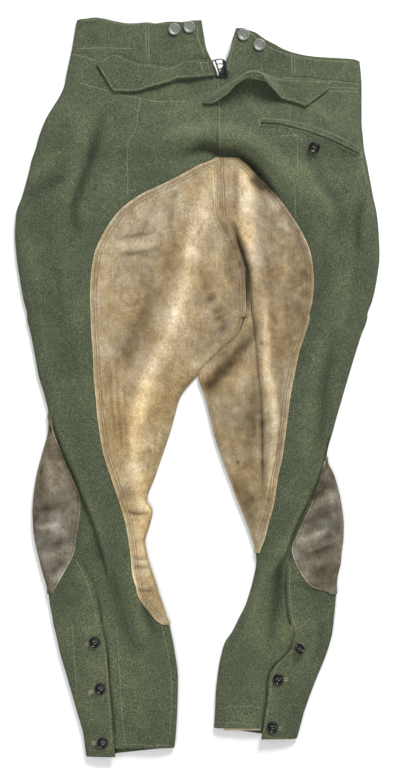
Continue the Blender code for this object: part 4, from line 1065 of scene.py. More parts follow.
tan = leather_material("tan_split_leather", (
    (0.30, (0.254, 0.181, 0.095)), (0.43, (0.324, 0.244, 0.139)), (0.55, (0.394, 0.307, 0.184)),
    (0.70, (0.480, 0.392, 0.254))), (
    (0.0, (0.40, 0.37, 0.33)), (0.5, 1.0), (1.0, (1.80, 1.86, 1.98))),
    RIM_ROWS, 1.60, 0.44)
grey_leather = leather_material("grey_brown_leather", (
    (0.32, (0.078, 0.064, 0.050)), (0.45, (0.134, 0.116, 0.090)), (0.56, (0.196, 0.176, 0.140)),
    (0.68, (0.300, 0.282, 0.240))), (
    (0.0, (0.44, 0.43, 0.42)), (0.5, 1.0), (1.0, (2.0, 2.02, 2.05))),
    PATCH_RIM_ROWS, 2.5, 1.8)


def free_edge(half, line, rows):
    """The run of one of the cut's lines between two heights, in millimetres."""
    used = slice(half.row(rows[0]), half.row(rows[1]) + 1)
    return np.stack((half.line[line][used], half.y[used]), 1)


def leather_layer(half, line, rows, grooves):
    """The grid lifted to lie as leather on the wool, and how far each point is from its edge."""
    x, y = half.points[:, :half.upper, 0], half.tall
    edge = free_edge(half, line, rows)
    gap = nearest(x, y, edge[::3])[0]
    if line == "leather":
        from_seam = np.abs(x - half.line["inner"][:, None]) + SEAM_ROW_SHIFT
        gap = np.minimum(gap, np.where(y > SEAM_ROWS_END, from_seam, FAR))
    lift = np.full(half.points.shape[:2], LIFT)
    lift[:, :half.upper] -= RIM_DROP * (1 - quarter_round(gap / RIM_TURN))
    depth, width = ROW_GROOVE
    for groove in grooves:
        lift[:, :half.upper] -= depth * hump(gap - groove, width)
    points = half.points + half.normals * lift[:, :, None]
    rim = np.full(half.points.shape[:2], 1.0)
    rim[:, :half.upper] = np.minimum(gap / FAR, 1.0)
    return (points, half.facing(points)), ("rim", rim)


LEATHER_CUTS = {
    "leather_seat_left": Cut(0.25, 0.66, 0.078), "leather_seat_right": Cut(0.15, 0.56, 0.037),
    "leather_inner_right": Cut(0.12, 0.335, 0.0188),
    "leather_knee_left": Cut(0.072, 0.255, 0.0126),
    "leather_knee_right": Cut(0.076, 0.195, 0.0102),
}


def make_leather(half):
    """The leather on one half's seat, inner thigh and knee."""
    side, mark = half.side, half.mark
    top, end = LEATHER_ROWS[side]
    layer, rim = leather_layer(half, "leather", LEATHER_ROWS[side], RIM_ROWS)
    look = (*looks(half), rim)
    seat = half.cells(top, CROTCH - 1, (0, mark["leather"]))
    if side == "left":
        seat |= half.cells(CROTCH - 1, end, (0, mark["leather"]), (half.inseam, half.columns))
    else:
        seat |= half.cells(CROTCH - 1, end, (mark["lip"], mark["leather"]))
        inner = half.cells(CROTCH - 1, end, (0, mark["lip"]), (half.inseam, half.columns))
        plain = (*look[:2], ("rim", np.full(half.points.shape[:2], 1.0)))
        cut_piece(shell("leather_inner_right", half, inner, tan, LEATHER, layer, plain),
                  "leather_tan", ["inner_leather_right"], LEATHER_CUTS["leather_inner_right"],
                  "wool_front_right")
    cut_piece(shell("leather_seat_" + side, half, seat, tan, LEATHER, layer, look), "leather_tan",
              ["seat_leather_" + side], LEATHER_CUTS["leather_seat_" + side], "wool_back_" + side)
    layer, rim = leather_layer(half, "patch", PATCH_ROWS[side], PATCH_RIM_ROWS)
    patch = half.cells(*PATCH_ROWS[side], (mark["patch"], half.upper + FOLD_STEPS // 2))
    cut_piece(shell("leather_knee_" + side, half, patch, grey_leather, LEATHER, layer,
                    (*look[:2], rim)), "leather_grey", ["knee_patch_" + side],
              LEATHER_CUTS["leather_knee_" + side], "wool_front_" + side)


make_leather(left)
make_leather(right)

# ---------------------------------------------------------------- calf underlaps
# The buttonhole side's under layer of thin wool, which carries the calf buttons below the knee.
# It is sewn in under the front panel's edge and ends in the hem.
FACING, UNDER_GAP = 1.0, 0.3
UNDERLAP_CUTS = {"left": Cut(0.045, 0.215, 0.0070), "right": Cut(0.055, 0.190, 0.0073)}


def below(half):
    """The grid just under the upper cloth."""
    return half.points - half.normals * (WOOL + UNDER_GAP)


def make_underlap(half):
    """The layer under one calf's buttoned edge."""
    side = half.side
    used = half.cells(UNDERLAP_START, half.y[-1], (half.mark["seam"], half.mark["patch"]))
    cut_piece(shell("underlap_" + side, half, used, green, FACING, (below(half), half.normals),
                    looks(half), False), "wool_green", ["calf_underlap_" + side],
              UNDERLAP_CUTS[side], "wool_front_" + side)


make_underlap(left)
make_underlap(right)

# ---------------------------------------------------------------- hem facing
# A strip of cream cotton twill that binds the inside of the right hem. It is felled to the wool
# and peeps out a little below it.
FACING_SHOWS, FACING_DEEP = 3.0, 18.0
FACING_CUT = Cut(0.058, 0.021, 0.0012)


def cotton_material():
    """Cream twill, a little yellowed in places."""
    look = Look("cream_cotton")
    weave = look.pattern("ShaderNodeTexWave", Scale=420.0, Distortion=0.6,
                         bands_direction="DIAGONAL")
    age = look.noise(90.0, 4.0, 0.6)
    base = look.ramp(age, (0.3, (0.46, 0.40, 0.27)), (0.7, (0.66, 0.61, 0.46)))
    return look.finish(look.times(base, look.ramp(weave, (0.0, 0.84), (1.0, 1.06))),
                       look.ramp(age, (0.3, 0.92), (0.7, 0.84)), weave, 0.5, 0.0004)


facing_cells = right.cells(right.y[-1] + FACING_DEEP + FACING_SHOWS, right.y[-1],
                           (right.mark["lip"] + 1, right.mark["seam_back"] - 1))
cut_piece(shell("hem_facing", right, facing_cells, cotton_material(), FACING,
                (below(right) - np.array((0, FACING_SHOWS, 0)), right.normals), (), False),
          "lining_cream", ["hem_facing_right"], FACING_CUT, "wool_back_right")

# ---------------------------------------------------------------- fly shield
# The shield behind the hidden front opening: one strip of the wool, rounded at its lower end and
# sewn in behind the front panels.
UP = np.array((0.0, 0.0, 1.0))
FLY_TOP, FLY_END, FLY_REACH, FLY_CURVE = 379.5, 205.5, 21.5, 40.0
FLY_CUT = Cut(0.045, 0.176, 0.0078)


def closed(name, solids, finish):
    """A smooth object of closed solids, each one a run of loops of points in millimetres."""
    points, faces, start = [], [], 0
    for loops in solids:
        count, size = loops.shape[:2]
        index = np.arange(count * size).reshape(count, size) + start
        a, b = index[:-1], index[1:]
        quads = np.stack((a, np.roll(a, -1, 1), np.roll(b, -1, 1), b), 2).reshape(-1, 4)
        faces += quads.tolist() + [index[0].tolist(), index[-1][::-1].tolist()]
        points.append(loops.reshape(-1, 3))
        start += count * size
    obj = finished(name, np.concatenate(points), faces, finish)
    shape = bmesh.new()
    shape.from_mesh(obj.data)
    bmesh.ops.recalc_face_normals(shape, faces=shape.faces)
    shape.to_mesh(obj.data)
    shape.free()
    return obj


def unit(vectors):
    """The same directions, of length 1."""
    return vectors / np.linalg.norm(vectors, axis=-1, keepdims=True)


def band(name, lower, up, thick, finish):
    """A flat band with rounded edges over rows of places on its underside."""
    turns = np.radians((45, 90, 135))

    def rounded(edge, out, angles):
        return [edge + (out * math.sin(t) + up * (1 - math.cos(t))) * thick / 2 for t in angles]

    ring = list(lower.swapaxes(0, 1))
    ring += rounded(lower[:, -1], unit(lower[:, -1] - lower[:, -2]), turns)
    ring += [places + up * thick for places in ring[lower.shape[1] - 1::-1]]
    ring += rounded(lower[:, 0], unit(lower[:, 0] - lower[:, 1]), turns[::-1])
    obj = closed(name, [np.stack(ring, 1)], finish)
    write_look(obj, "worn", PLAIN)
    return obj


fly_rows = []
for y in np.linspace(FLY_TOP, FLY_END, 44):
    reach = FLY_REACH * quarter_round((y - FLY_END + 4) / FLY_CURVE)
    fly_rows.append([(CENTRE + reach * side, y, WOOL + UNDER_GAP)
                     for side in np.linspace(-1, 1, 9)])
cut_piece(band("fly_shield_piece", np.array(fly_rows), UP, WOOL, green), "wool_green",
          ["fly_shield"], FLY_CUT, "wool_front_left", "wool_front_right")

# ---------------------------------------------------------------- back pocket
# A cut pocket across the right side seam: a bound lower welt, a narrow upper lip, and between
# them a strip of the wool painted dark as the shade in the slit. It closes with one button.
SLIT = ((89, 368), (103, 368), (119, 366), (134, 362), (150, 358), (169, 351), (187, 344),
        (207, 335), (226, 327))
# Each band: where it starts and ends beside the slit, how many places lie across it, its
# thickness, its clearance, and the place across it that lies highest
PocketBand = namedtuple("PocketBand", "start end count thick clear near")
MOUTH_SHADE = PocketBand(-1.6, 2.0, 4, 0.5, 0.35, 1)
WELT = PocketBand(1.6, 7.4, 6, 1.3, 0.25, 0)
LIP = PocketBand(-5.0, -1.2, 5, 1.0, 0.1, 4)
WELT_CUT, LIP_CUT = Cut(0.143, 0.010, 0.0013), Cut(0.143, 0.010, 0.0009)
MOUTH_SHADE_CUT = Cut(0.143, 0.010, 0.0007)
# How a band sinks in away from that place, and how narrow it is at its ends
SINK, SINK_CURVE, END_WIDTH = 0.15, 1.6, 0.55
ABOVE, DOWN = 200, (0, 0, -1)
cloth = BVHTree.FromPolygons(np.concatenate(laid_points).tolist(),
                             np.concatenate(laid_faces).tolist())


def height_at(x, y):
    """Height of what has been laid at a place, or of the table."""
    hit = cloth.ray_cast((x, y, ABOVE), DOWN)
    return hit[0].z if hit[0] else 0.0


def settled(values, reach):
    """Values along a run, smoothed over some neighbours on each side."""
    padded = np.pad(values, ((reach, reach),) + ((0, 0),) * (values.ndim - 1), mode="edge")
    return sum(padded[k:k + len(values)] for k in range(2 * reach + 1)) / (2 * reach + 1)


def strip(name, line, shape):
    """A narrow band laid on the cloth beside a line, sinking in away from that line."""
    line = smooth_line(line, 2.5)
    along = unit(np.gradient(line, axis=0))
    across = np.stack((along[:, 1], -along[:, 0]), 1)
    offsets = np.linspace(shape.start, shape.end, shape.count)
    lower = np.zeros((len(line), len(offsets), 3))
    for k, offset in enumerate(offsets):
        lower[:, k, :2] = line + across * offset
        lower[:, k, 2] = [height_at(*place) for place in lower[:, k, :2]]
    sunk = np.abs(offsets - offsets[shape.near]) / np.abs(offsets[0] - offsets[-1])
    sunk = ((shape.thick + SINK) * sunk) ** SINK_CURVE
    lower[:, :, 2] = settled(lower[:, :, 2], 2) + shape.clear - sunk
    ends = quarter_round(np.minimum(np.arange(len(line)) + 1, np.arange(len(line))[::-1] + 1) / 3)
    middle = lower.mean(1, keepdims=True)
    lower = middle + (lower - middle) * (END_WIDTH + (1 - END_WIDTH) * ends[:, None, None])
    return band(name, lower, UP, shape.thick, green)


# The mouth is the wool painted fully dark and unworn, as painted shade in the slit.
mouth_shade = strip("pocket_mouth", SLIT, MOUTH_SHADE)
write_look(mouth_shade, "worn", 0.0)
write_look(mouth_shade, "stain", 1.0)
cut_piece(strip("pocket_welt_piece", SLIT, WELT), "wool_green", ["pocket_welt"], WELT_CUT,
          "wool_back_right")
cut_piece(strip("pocket_lip", SLIT, LIP), "wool_green", [], LIP_CUT, "wool_back_right")
cut_piece(mouth_shade, "wool_green", [], MOUTH_SHADE_CUT, "wool_back_right")

# ---------------------------------------------------------------- back straps
# Two shaped straps of doubled wool that draw the waist in: the left one is threaded through the
# buckle, the right one is unfastened and arches up from its sewn end to its free tip.

# The strap's thickness, its clearance over what lies under it, and the steps of its grid
STRAP, STRAP_CLEAR, STRAP_STEP, STRAP_ACROSS = 2.4, 0.4, 1.6, 15
# Each row: the two edges of the strap as seen from above, the clearance under it, and how much
# higher its lower edge stands where it is turned on edge
Station = namedtuple("Station", "top_x top_y bottom_x bottom_y rise stand")
STRAP_LEFT = [Station(*row) for row in (
    (-140.5, 451.5, -140, 450, 0.8, 0), (-130, 459, -134, 440.5, 0.8, 0),
    (-119, 466, -126, 427.5, 0.8, 0), (-109, 465, -117, 412.5, 0.9, 0),
    (-98, 459, -98, 412, 1.4, 0), (-83, 452, -83, 412.5, 2.2, 0), (-67, 451, -67, 418, 2.8, 0),
    (-52, 449, -52, 421.5, 3.4, 0), (-38, 446.5, -39, 425, 3.8, 0), (-29, 450, -28, 430.5, 4.2, 0),
    (-19, 456.5, -19, 430.5, 4.4, 0), (-6, 456.5, -6, 431, 4.0, 0), (6, 456, 9, 433, 2.6, 0),
    (14, 455.5, 18.5, 434, 1.0, 0), (20.5, 456, 26, 435, 0.0, 0),
)]
STRAP_RIGHT = [Station(*row) for row in (
    (189, 427, 183.5, 416.5, 0.8, 0), (178, 429, 173, 408, 0.8, 0),
    (163, 429.5, 162, 399.5, 0.8, 0), (150, 430, 152, 391.5, 0.8, 0),
    (140, 430.5, 141, 395.5, 0.8, 0), (130, 431, 130, 399, 0.9, 0), (119, 432, 117, 402, 1.6, 3),
    (104, 434, 108, 410, 3, 12), (96, 436, 98, 420, 5, 18), (87, 438, 89, 430, 7, 22),
    (78, 439.5, 82, 433.5, 8.2, 22.5), (70, 438, 74, 432.5, 8, 22), (62, 433.5, 66, 427, 7, 20),
    (51, 427, 54, 418, 5.4, 17), (38, 421.5, 42, 405, 4, 11), (27, 415, 30, 398.5, 2.6, 4),
    (18, 408, 21, 394.5, 1.9, 0.5), (9, 400, 9.5, 395.5, 1.4, 0),
)]
# Puckers: size, stretch, rise and lift, and the groove of the stitch rows 3 mm from the edges
PUCKER_SIZE, PUCKER_STRETCH, PUCKER_RISE, PUCKER_LIFT = 7, 0.6, 0.6, 0.7
SEWN_IN, SEWN_GROOVE, SEWN_WIDTH = 3.0, 0.4, 0.9
# Where the strap narrows, the rows lie this share of it from the edges at most, or are left out
SEWN_MOST, SEWN_LEAST = 0.45, 4 * SEWN_IN
BUCKLE_AT, BUCKLE_WIDE, BUCKLE_TOP = (33.0, 446.0), 21.0, 19.3
STRAP_CUTS = {"left": Cut(0.172, 0.053, 0.0055), "right": Cut(0.21, 0.040, 0.0056)}


def over_buckle(x, y):
    """Height of what lies under the left strap, which passes over the buckle."""
    reached = x > BUCKLE_AT[0] - BUCKLE_WIDE / 2 - STRAP
    return max(height_at(x, y), BUCKLE_TOP if reached else 0.0)


def strap(name, stations, over, seed):
    """A puckered band between two edges, clear of what lies under it, and its stitch rows."""
    table = np.array(stations, float)
    gone = run((table[:, :2] + table[:, 2:4]) / 2)
    at = np.linspace(0, gone[-1], math.ceil(gone[-1] / STRAP_STEP) + 1)
    edges = np.stack([np.interp(at, gone, column) for column in table[:, :4].T], 1)
    edges = 0.5 * edges + 0.5 * settled(edges, 1)
    rise, stand = eased(gone, table[:, 4], at), eased(gone, table[:, 5], at)
    shares = np.linspace(0, 1, STRAP_ACROSS)
    flat = edges[:, None, :2] + (edges[:, None, 2:] - edges[:, None, :2]) * shares[:, None]
    up = stand[:, None] * (shares - 0.5)
    under = np.array([[over(*place) for place in row] for row in flat])
    base = settled((under - up).max(1), 3) + rise + STRAP_CLEAR
    low = np.concatenate((flat, (base[:, None] + up)[..., None]), 2)
    normal = np.cross(np.gradient(low.mean(1), axis=0), low[:, -1] - low[:, 0])
    normal *= np.where(normal[:, 2:] < 0, -1, 1)
    normal = unit(settled(unit(normal), 2))
    width = np.linalg.norm(low[:, -1] - low[:, 0], axis=1)[:, None]
    across = shares * width * PUCKER_STRETCH
    pucker = PUCKER_RISE * lumps(at[:, None] + 0 * up, across, PUCKER_SIZE, seed)
    from_edge = np.minimum(shares, 1 - shares) * width
    pucker = pucker + PUCKER_LIFT - SEWN_GROOVE * hump(from_edge - SEWN_IN, SEWN_WIDTH)
    inset = np.minimum(STRAP / 2 / np.maximum(width, 1), 0.4) * np.abs(shares - 0.5) * 4
    low = low + (low.mean(1, keepdims=True) - low) * inset[..., None]
    obj = band(name, low + normal[:, None] * pucker[..., None], normal, STRAP, green)
    used = width[:, 0] > SEWN_LEAST
    start, across = edges[used, :2], edges[used, 2:] - edges[used, :2]
    share = np.clip(SEWN_IN / width[used], 0, SEWN_MOST)
    return obj, [start + across * share, start + across * (1 - share)]


straps = {"left": strap("strap_left_piece", STRAP_LEFT, over_buckle, 1.7),
          "right": strap("strap_right_piece", STRAP_RIGHT, height_at, 6.1)}
for side, (obj, _) in straps.items():
    cut_piece(obj, "wool_green", ["back_strap_" + side], STRAP_CUTS[side], "wool_back_" + side)

# ---------------------------------------------------------------- buckle
# A small steel buckle with two prongs, bent from wire and sheet and stoved with black lacquer
# that has rubbed at its edges. The left strap is sewn round its left bar.
look = Look("black_buckle_lacquer")
scratch = look.noise(520.0, 4.0, 0.7, 0.4, 0.2)
edge_wear = look.add("ShaderNodeNewGeometry").outputs["Pointiness"]
tint = look.ramp(scratch, (0.35, (0.004, 0.004, 0.005)), (0.62, (0.010, 0.010, 0.011)),
                 (0.78, (0.07, 0.07, 0.072)))
lacquer = look.finish(look.times(tint, look.ramp(edge_wear, (0.50, 1.0), (0.62, 2.2))),
                      look.ramp(scratch, (0.3, 0.20), (0.7, 0.42)), scratch, 0.3, 0.0002,
                      Specular_IOR_Level=0.22)
# Each row: a rod's radius across and its half height, then the places along it
Rod = namedtuple("Rod", "radius half_height places")
RODS = [Rod(*row) for row in (
    (0.8, 0.8, ((20.8, 456.0), (27, 457.6), (34, 458.4), (37.6, 456.6))),
    (0.7, 0.7, ((20.8, 456.4), (23.6, 445.0), (26.8, 434.0))),
    (1.0, 1.0, ((24.9, 457.0), (28.2, 447.6), (31.6, 436.6))),
    (2.1, 1.5, ((36.6, 457.2), (39.0, 446.0), (41.6, 433.4))),
    (1.3, 1.3, ((26.4, 433.6), (34, 434.4), (42.6, 433.6))),
    (0.7, 0.8, ((27.4, 451.0), (31.6, 452.0), (36.6, 451.4))),
    (0.7, 0.8, ((30.0, 443.0), (33.6, 445.4), (38.0, 444.6))),
    (1.5, 0.7, ((31.6, 437.0), (36.0, 438.6), (40.0, 438.6))),
)]
ROD_SIDES, ROD_END, ROD_DEEP = 12, 0.6, 1.5


def rod_loops(rod):
    """Rings round a rod, from one end to the other, with its ends rounded."""
    line = smooth_line(rod.places, 0.8)
    along = unit(np.gradient(line, axis=0))
    turns = np.arange(ROD_SIDES) * math.tau / ROD_SIDES
    last = np.arange(len(line))
    full = np.where(np.minimum(last, last[::-1]) == 0, ROD_END, 1.0)[:, None]
    across = np.cos(turns) * rod.radius * full
    ring = np.empty((len(line), ROD_SIDES, 3))
    ring[..., 0] = line[:, :1] - along[:, 1:] * across
    ring[..., 1] = line[:, 1:] + along[:, :1] * across
    ring[..., 2] = BUCKLE_TOP - ROD_DEEP + np.sin(turns) * rod.half_height * full
    return ring


own(closed("buckle_piece", [rod_loops(rod) for rod in RODS], lacquer), "buckle_lacquer", "buckle")

# ---------------------------------------------------------------- buttons
# Dished four-hole buttons sewn through with waxed thread: pebbled grey metal ones for the braces,
# polished black horn ones on the pocket and calves.
Button = namedtuple("Button", "name x y radius lean turn spin")
BUTTONS = [Button(*row) for row in (
    ("brace_button_1", -32, 501, 8.5, 0, 0, 20), ("brace_button_2", -11, 504, 8.5, 0, 0, 62),
    ("brace_button_3", 65, 493, 8.5, 0, 0, 35), ("brace_button_4", 87, 479, 8.5, 0, 0, 8),
    ("pocket_button", 163, 334, 7.8, 0, 0, 40),
    ("calf_button_left_1", -144, -357, 7.8, 0, 0, 15),
    ("calf_button_left_2", -136, -422, 7.8, 0, 0, 55),
    ("calf_button_left_3", -133, -498, 7.8, 0, 0, 30),
    ("calf_button_right_1", 143, -366, 7.5, 32, 40, 25),
    ("calf_button_right_2", 113, -409, 7.8, 0, 0, 48),
    ("calf_button_right_3", 105, -476, 7.8, 0, 0, 12),
)]
# Radius and height as shares of the outer radius, from the back's middle round the rim to the dish
DISH = ((0, 0), (0.76, 0), (0.88, 0.045), (0.97, 0.11), (1.0, 0.18), (0.99, 0.245),
        (0.95, 0.295), (0.89, 0.325), (0.82, 0.325), (0.75, 0.295), (0.69, 0.24), (0.61, 0.195),
        (0.50, 0.178), (0.30, 0.172), (0, 0.170))
BUTTON_ROUND, DRILL_ROUND = 56, 16
HOLE_RADIUS, HOLE_AT = 0.115, 0.225
BUTTON_FOOT, BUTTON_SEAT = 0.8, 0.5
# A thread through two holes: its places along and up, as shares of the hole's distance and of the
# button's radius, and its width and rise in millimetres
THREAD = ((-1.0, -0.05), (-0.95, 0.16), (-0.45, 0.235), (0.45, 0.235), (0.95, 0.16), (1.0, -0.05))
THREAD_WIDTH, THREAD_RISE = 1.1, 0.55


def button_material(name, stops, gloss, pebbles, **fixed):
    """A button's stuff: its tones, its roughness, and how fine its grain is."""
    look = Look(name)
    grain = look.noise(pebbles)
    dust = look.ramp(look.noise(2600.0, 2.0), (0.35, 0.85), (0.7, 1.15))
    return look.finish(look.times(look.ramp(grain, *stops), dust), look.ramp(grain, *gloss),
                       grain, 0.5, 0.0004, **fixed)


grey_metal = button_material("grey_button_metal", (
    (0.3, (0.085, 0.093, 0.082)), (0.5, (0.17, 0.18, 0.16)), (0.7, (0.36, 0.37, 0.33))),
    ((0.3, 0.5), (0.7, 0.36)), 1100.0, Metallic=0.45)
black_horn = button_material("black_button_horn", (
    (0.3, (0.003, 0.003, 0.004)), (0.7, (0.010, 0.010, 0.011))), ((0.3, 0.12), (0.7, 0.26)), 300.0,
    Specular_IOR_Level=0.3)


def button_blank():
    """One turned button of radius 1 with four drilled holes."""
    turns = np.arange(BUTTON_ROUND) * math.tau / BUTTON_ROUND
    points = [(0, 0, 0)]
    for share, high in DISH[1:-1]:
        points += [(share * math.cos(t), share * math.sin(t), high) for t in turns]
    points.append((0, 0, DISH[-1][1]))
    faces = []
    rings = len(DISH) - 2
    for k in range(BUTTON_ROUND):
        n = (k + 1) % BUTTON_ROUND
        faces.append((0, 1 + n, 1 + k))
        for r in range(rings - 1):
            a, b = 1 + r * BUTTON_ROUND, 1 + (r + 1) * BUTTON_ROUND
            faces.append((a + k, a + n, b + n, b + k))
        a = 1 + (rings - 1) * BUTTON_ROUND
        faces.append((a + k, a + n, len(points) - 1))
    mesh = bpy.data.meshes.new("button_blank")
    mesh.from_pydata(points, [], faces)
    blank = placed("button_blank", mesh)
    drills = bmesh.new()
    for k in range(4):
        at = Matrix.Translation((HOLE_AT * (1, 1, -1, -1)[k], HOLE_AT * (1, -1, -1, 1)[k], 0.1))
        bmesh.ops.create_cone(drills, cap_ends=True, segments=DRILL_ROUND, radius1=HOLE_RADIUS,
                              radius2=HOLE_RADIUS, depth=1.0, matrix=at)
    drill_mesh = bpy.data.meshes.new("drills")
    drills.to_mesh(drill_mesh)
    drills.free()
    drill = placed("drills", drill_mesh)
    cut = blank.modifiers.new("holes", "BOOLEAN")
    cut.operation, cut.object, cut.solver = "DIFFERENCE", drill, "EXACT"
    bpy.context.view_layer.update()
    graph = bpy.context.evaluated_depsgraph_get()
    drilled = bpy.data.meshes.new_from_object(blank.evaluated_get(graph))
    bpy.data.objects.remove(blank)
    bpy.data.objects.remove(drill)
    return drilled


blank = button_blank()
button_bars = []
for spec in BUTTONS:
    foot = spec.radius * BUTTON_FOOT
    lean, turn = math.radians(spec.lean), math.radians(spec.turn)
    under = [height_at(spec.x + foot * math.cos(a), spec.y + foot * math.sin(a))
             for a in np.linspace(0, math.tau, 24)]
    height = max(under) + BUTTON_SEAT + foot * math.sin(lean)
    seat = (Matrix.Translation((spec.x, spec.y, height)) @ Matrix.Rotation(turn, 4, "Z")
            @ Matrix.Rotation(lean, 4, "Y") @ Matrix.Rotation(math.radians(spec.spin), 4, "Z"))
    mesh = blank.copy()
    mesh.transform(Matrix.Scale(MM, 4) @ seat @ Matrix.Scale(spec.radius, 4))
    mesh.materials.clear()
    mesh.materials.append(grey_metal if "brace" in spec.name else black_horn)
    mesh.shade_smooth()
    mesh.set_sharp_from_angle(angle=math.radians(50))
    own(placed(spec.name + "_turned", mesh),
        "button_grey" if "brace" in spec.name else "button_black", spec.name)
    for side in (-1, 1):
        ends = [(share * HOLE_AT * spec.radius, side * HOLE_AT * spec.radius, high * spec.radius)
                for share, high in THREAD]
        button_bars.append([seat @ Vector(end) for end in ends])

# ---------------------------------------------------------------- sewing
# Cream linen thread on the wool and waxed brown thread on the leather: seams, topstitching,
# buttonholes, bar tacks and the buttons' threads, one short raised stitch after the other.
STITCH, SPACE = 2.2, 1.0
# A stitch's width and rise on wool and on leather, and how far its ends and belly sink in
ON_WOOL, ON_LEATHER, ON_STRAP, ON_HOLE = (0.95, 0.42), (0.8, 0.3), (0.8, 0.42), (0.8, 0.5)
END_SINK, BELLY_SINK = 0.3, 0.35
HOLE_STEP, HOLE_SLIT, HOLE_REACH = 0.9, 0.35, 2.1
# Rows of stitches, by the places that they run through on the laying-out grid
WOOL_ROWS = {"left": (
    # waistband and side seams
    ((146, 23), (146.2, 42), (146.5, 61)),
    ((148.6, 22), (148.8, 42), (149, 61)),
    ((140.4, 98), (138, 115), (136, 130), (129, 141), (127.5, 150), (127.6, 175), (128, 198)),
    ((78, 48.6), (100, 48.2), (122, 48.6), (140, 49)),
    ((71.7, 53.5), (84, 57), (96.8, 61.3)),
    ((80, 83.4), (93.5, 87.3), (109, 91.8), (122.5, 95.7), (138, 98.5)),
    ((140, 98.8), (160, 102.2), (186, 102.4)),
    ((80, 20.6), (98, 19.3), (112, 22.2), (128, 24.4), (146, 23.6), (160, 24), (176, 22.6),
     (190, 21.6), (199, 21.6)),
    ((198, 25), (197.4, 34), (201.6, 48), (205, 58)),
    # centre back
    ((213.4, 79.6), (216.2, 80)),
    # calf openings
    ((76, 559), (81, 570), (87, 582), (91, 596), (95, 610), (98, 625)),
    ((88, 628.6), (94, 627), (101, 625.4)),
    ((72, 625), (74.3, 664), (76, 690)),
    ((103.2, 642), (106, 662), (108, 690), (110, 716), (111.4, 742)),
    ((116.6, 628), (118, 650), (120.6, 690), (122.5, 720), (125.7, 747)),
    ((90, 750.6), (98, 751.2), (106, 749.4), (112, 747.2)),
    ((119, 744.4), (135, 745.2), (152, 745.6), (170, 745.2)),
    ((157.4, 612), (165.2, 640), (171, 676), (171.8, 700), (170, 735)),
), "right": (
    # waistband and side seams
    ((291.7, 54), (291.9, 64), (292, 75)),
    ((294.6, 54.6), (294.8, 64), (295, 76)),
    ((290, 104), (290, 122)),
    ((293, 128), (293, 136), (297, 136), (297, 128), (293, 128)),
    ((297, 137), (297.4, 160), (297, 180), (294.9, 190), (295, 205), (295.3, 219)),
    ((282, 78.4), (302, 78.6), (322, 80.4), (342, 82.6), (359, 84.3)),
    ((327, 87.3), (344, 87.8), (359, 88.6)),
    ((327, 91), (344, 91.4), (359, 92)),
    ((238, 31.4), (250, 33.4), (260, 41), (272, 48.6), (286, 53.8), (302, 57.6), (320, 60.2),
     (340, 61.4), (357, 62.4)),
    ((236, 36), (232.4, 48), (229.5, 62), (225, 76)),
    # centre back
    ((218.4, 80), (218.6, 90), (219.2, 110), (219.8, 134), (220.2, 150)),
    # pocket
    ((261, 119.6), (281, 120.6), (301, 123.8), (325, 132), (345, 141.2), (359.5, 148.6)),
    ((261, 128), (275, 128.6), (290, 130.6), (306, 135), (320, 140.8), (328, 145), (342.5, 150.8),
     (358.6, 158.2)),
    ((259.4, 120.4), (259.3, 124), (259.2, 128.2)),
    ((260.8, 120.4), (260.7, 124), (260.6, 128.2)),
    ((361.2, 151.6), (361, 155), (360.8, 158.8)),
    ((362.4, 152), (362.2, 155), (362, 158.8)),
    ((281, 137), (290, 136.6), (300, 137.4)),
    ((362, 162), (364.6, 172), (367.4, 184)),
    ((311.2, 156.7), (313.6, 160.8)),
    # calf openings
    ((290.6, 566), (289.4, 585), (290.6, 603), (293, 618), (295.4, 628)),
    ((292, 628.2), (299, 627), (305, 623.6), (310, 618)),
    ((291, 651), (281, 661), (274.4, 671), (271.6, 684), (270.4, 698), (268, 712), (265.4, 726),
     (263.6, 734.6)),
    ((221, 709), (235, 707.4), (250, 706.8), (262, 708)),
    ((264, 735), (274, 738), (284, 739.4), (289.4, 737.4)),
    ((216.6, 722.4), (235, 723.2), (257, 725.4)),
)}
# Buttonholes, each worked round with close crosswise stitches, and the bar tacks
HOLES = {"left": ((85.4, 645.2, 89.6, 643.0), (88.4, 693.4, 93.4, 691.2),
                  (91.6, 743.4, 96.6, 743.2)),
         "right": ((301.4, 643.4, 303.4, 648.0), (283.2, 679.8, 288.2, 679.4),
                   (276.6, 728.0, 281.6, 728.8), (290.6, 625.6, 294.6, 630.6))}
STRAP_ROWS = (((200, 63.6), (202.4, 70), (204, 75.6)), ((207.3, 63.6), (209, 70), (210.7, 75.6)))


def thread_material(name, dark, light):
    """Twisted thread, in two tones of age."""
    look = Look(name)
    ply = look.pattern("ShaderNodeTexWave", Scale=600.0, Distortion=1.0,
                       bands_direction="DIAGONAL")
    age = look.noise(120.0)
    colour = look.times(look.ramp(age, (0.35, dark), (0.65, light)),
                        look.ramp(ply, (0.0, 0.8), (1.0, 1.1)))
    return look.finish(colour, look.ramp(age, (0.3, 0.86), (0.7, 0.7)), ply, 0.6, 0.0002)


cream_thread = thread_material("cream_linen_thread", (0.27, 0.26, 0.17), (0.50, 0.47, 0.33))
brown_thread = thread_material("brown_waxed_thread", (0.10, 0.070, 0.038), (0.22, 0.165, 0.10))


def seated(ground, line):
    """The places where a line lies on the ground below it, with the ground's facing there."""
    found = [ground.ray_cast((x, y, ABOVE), DOWN) for x, y in line]
    found = [hit for hit in found if hit[0]]
    at = np.array([hit[0] for hit in found]).reshape(-1, 3)
    out = np.array([hit[1] for hit in found]).reshape(-1, 3)
    return at, out * np.where(out[:, 2:] < 0, -1, 1)


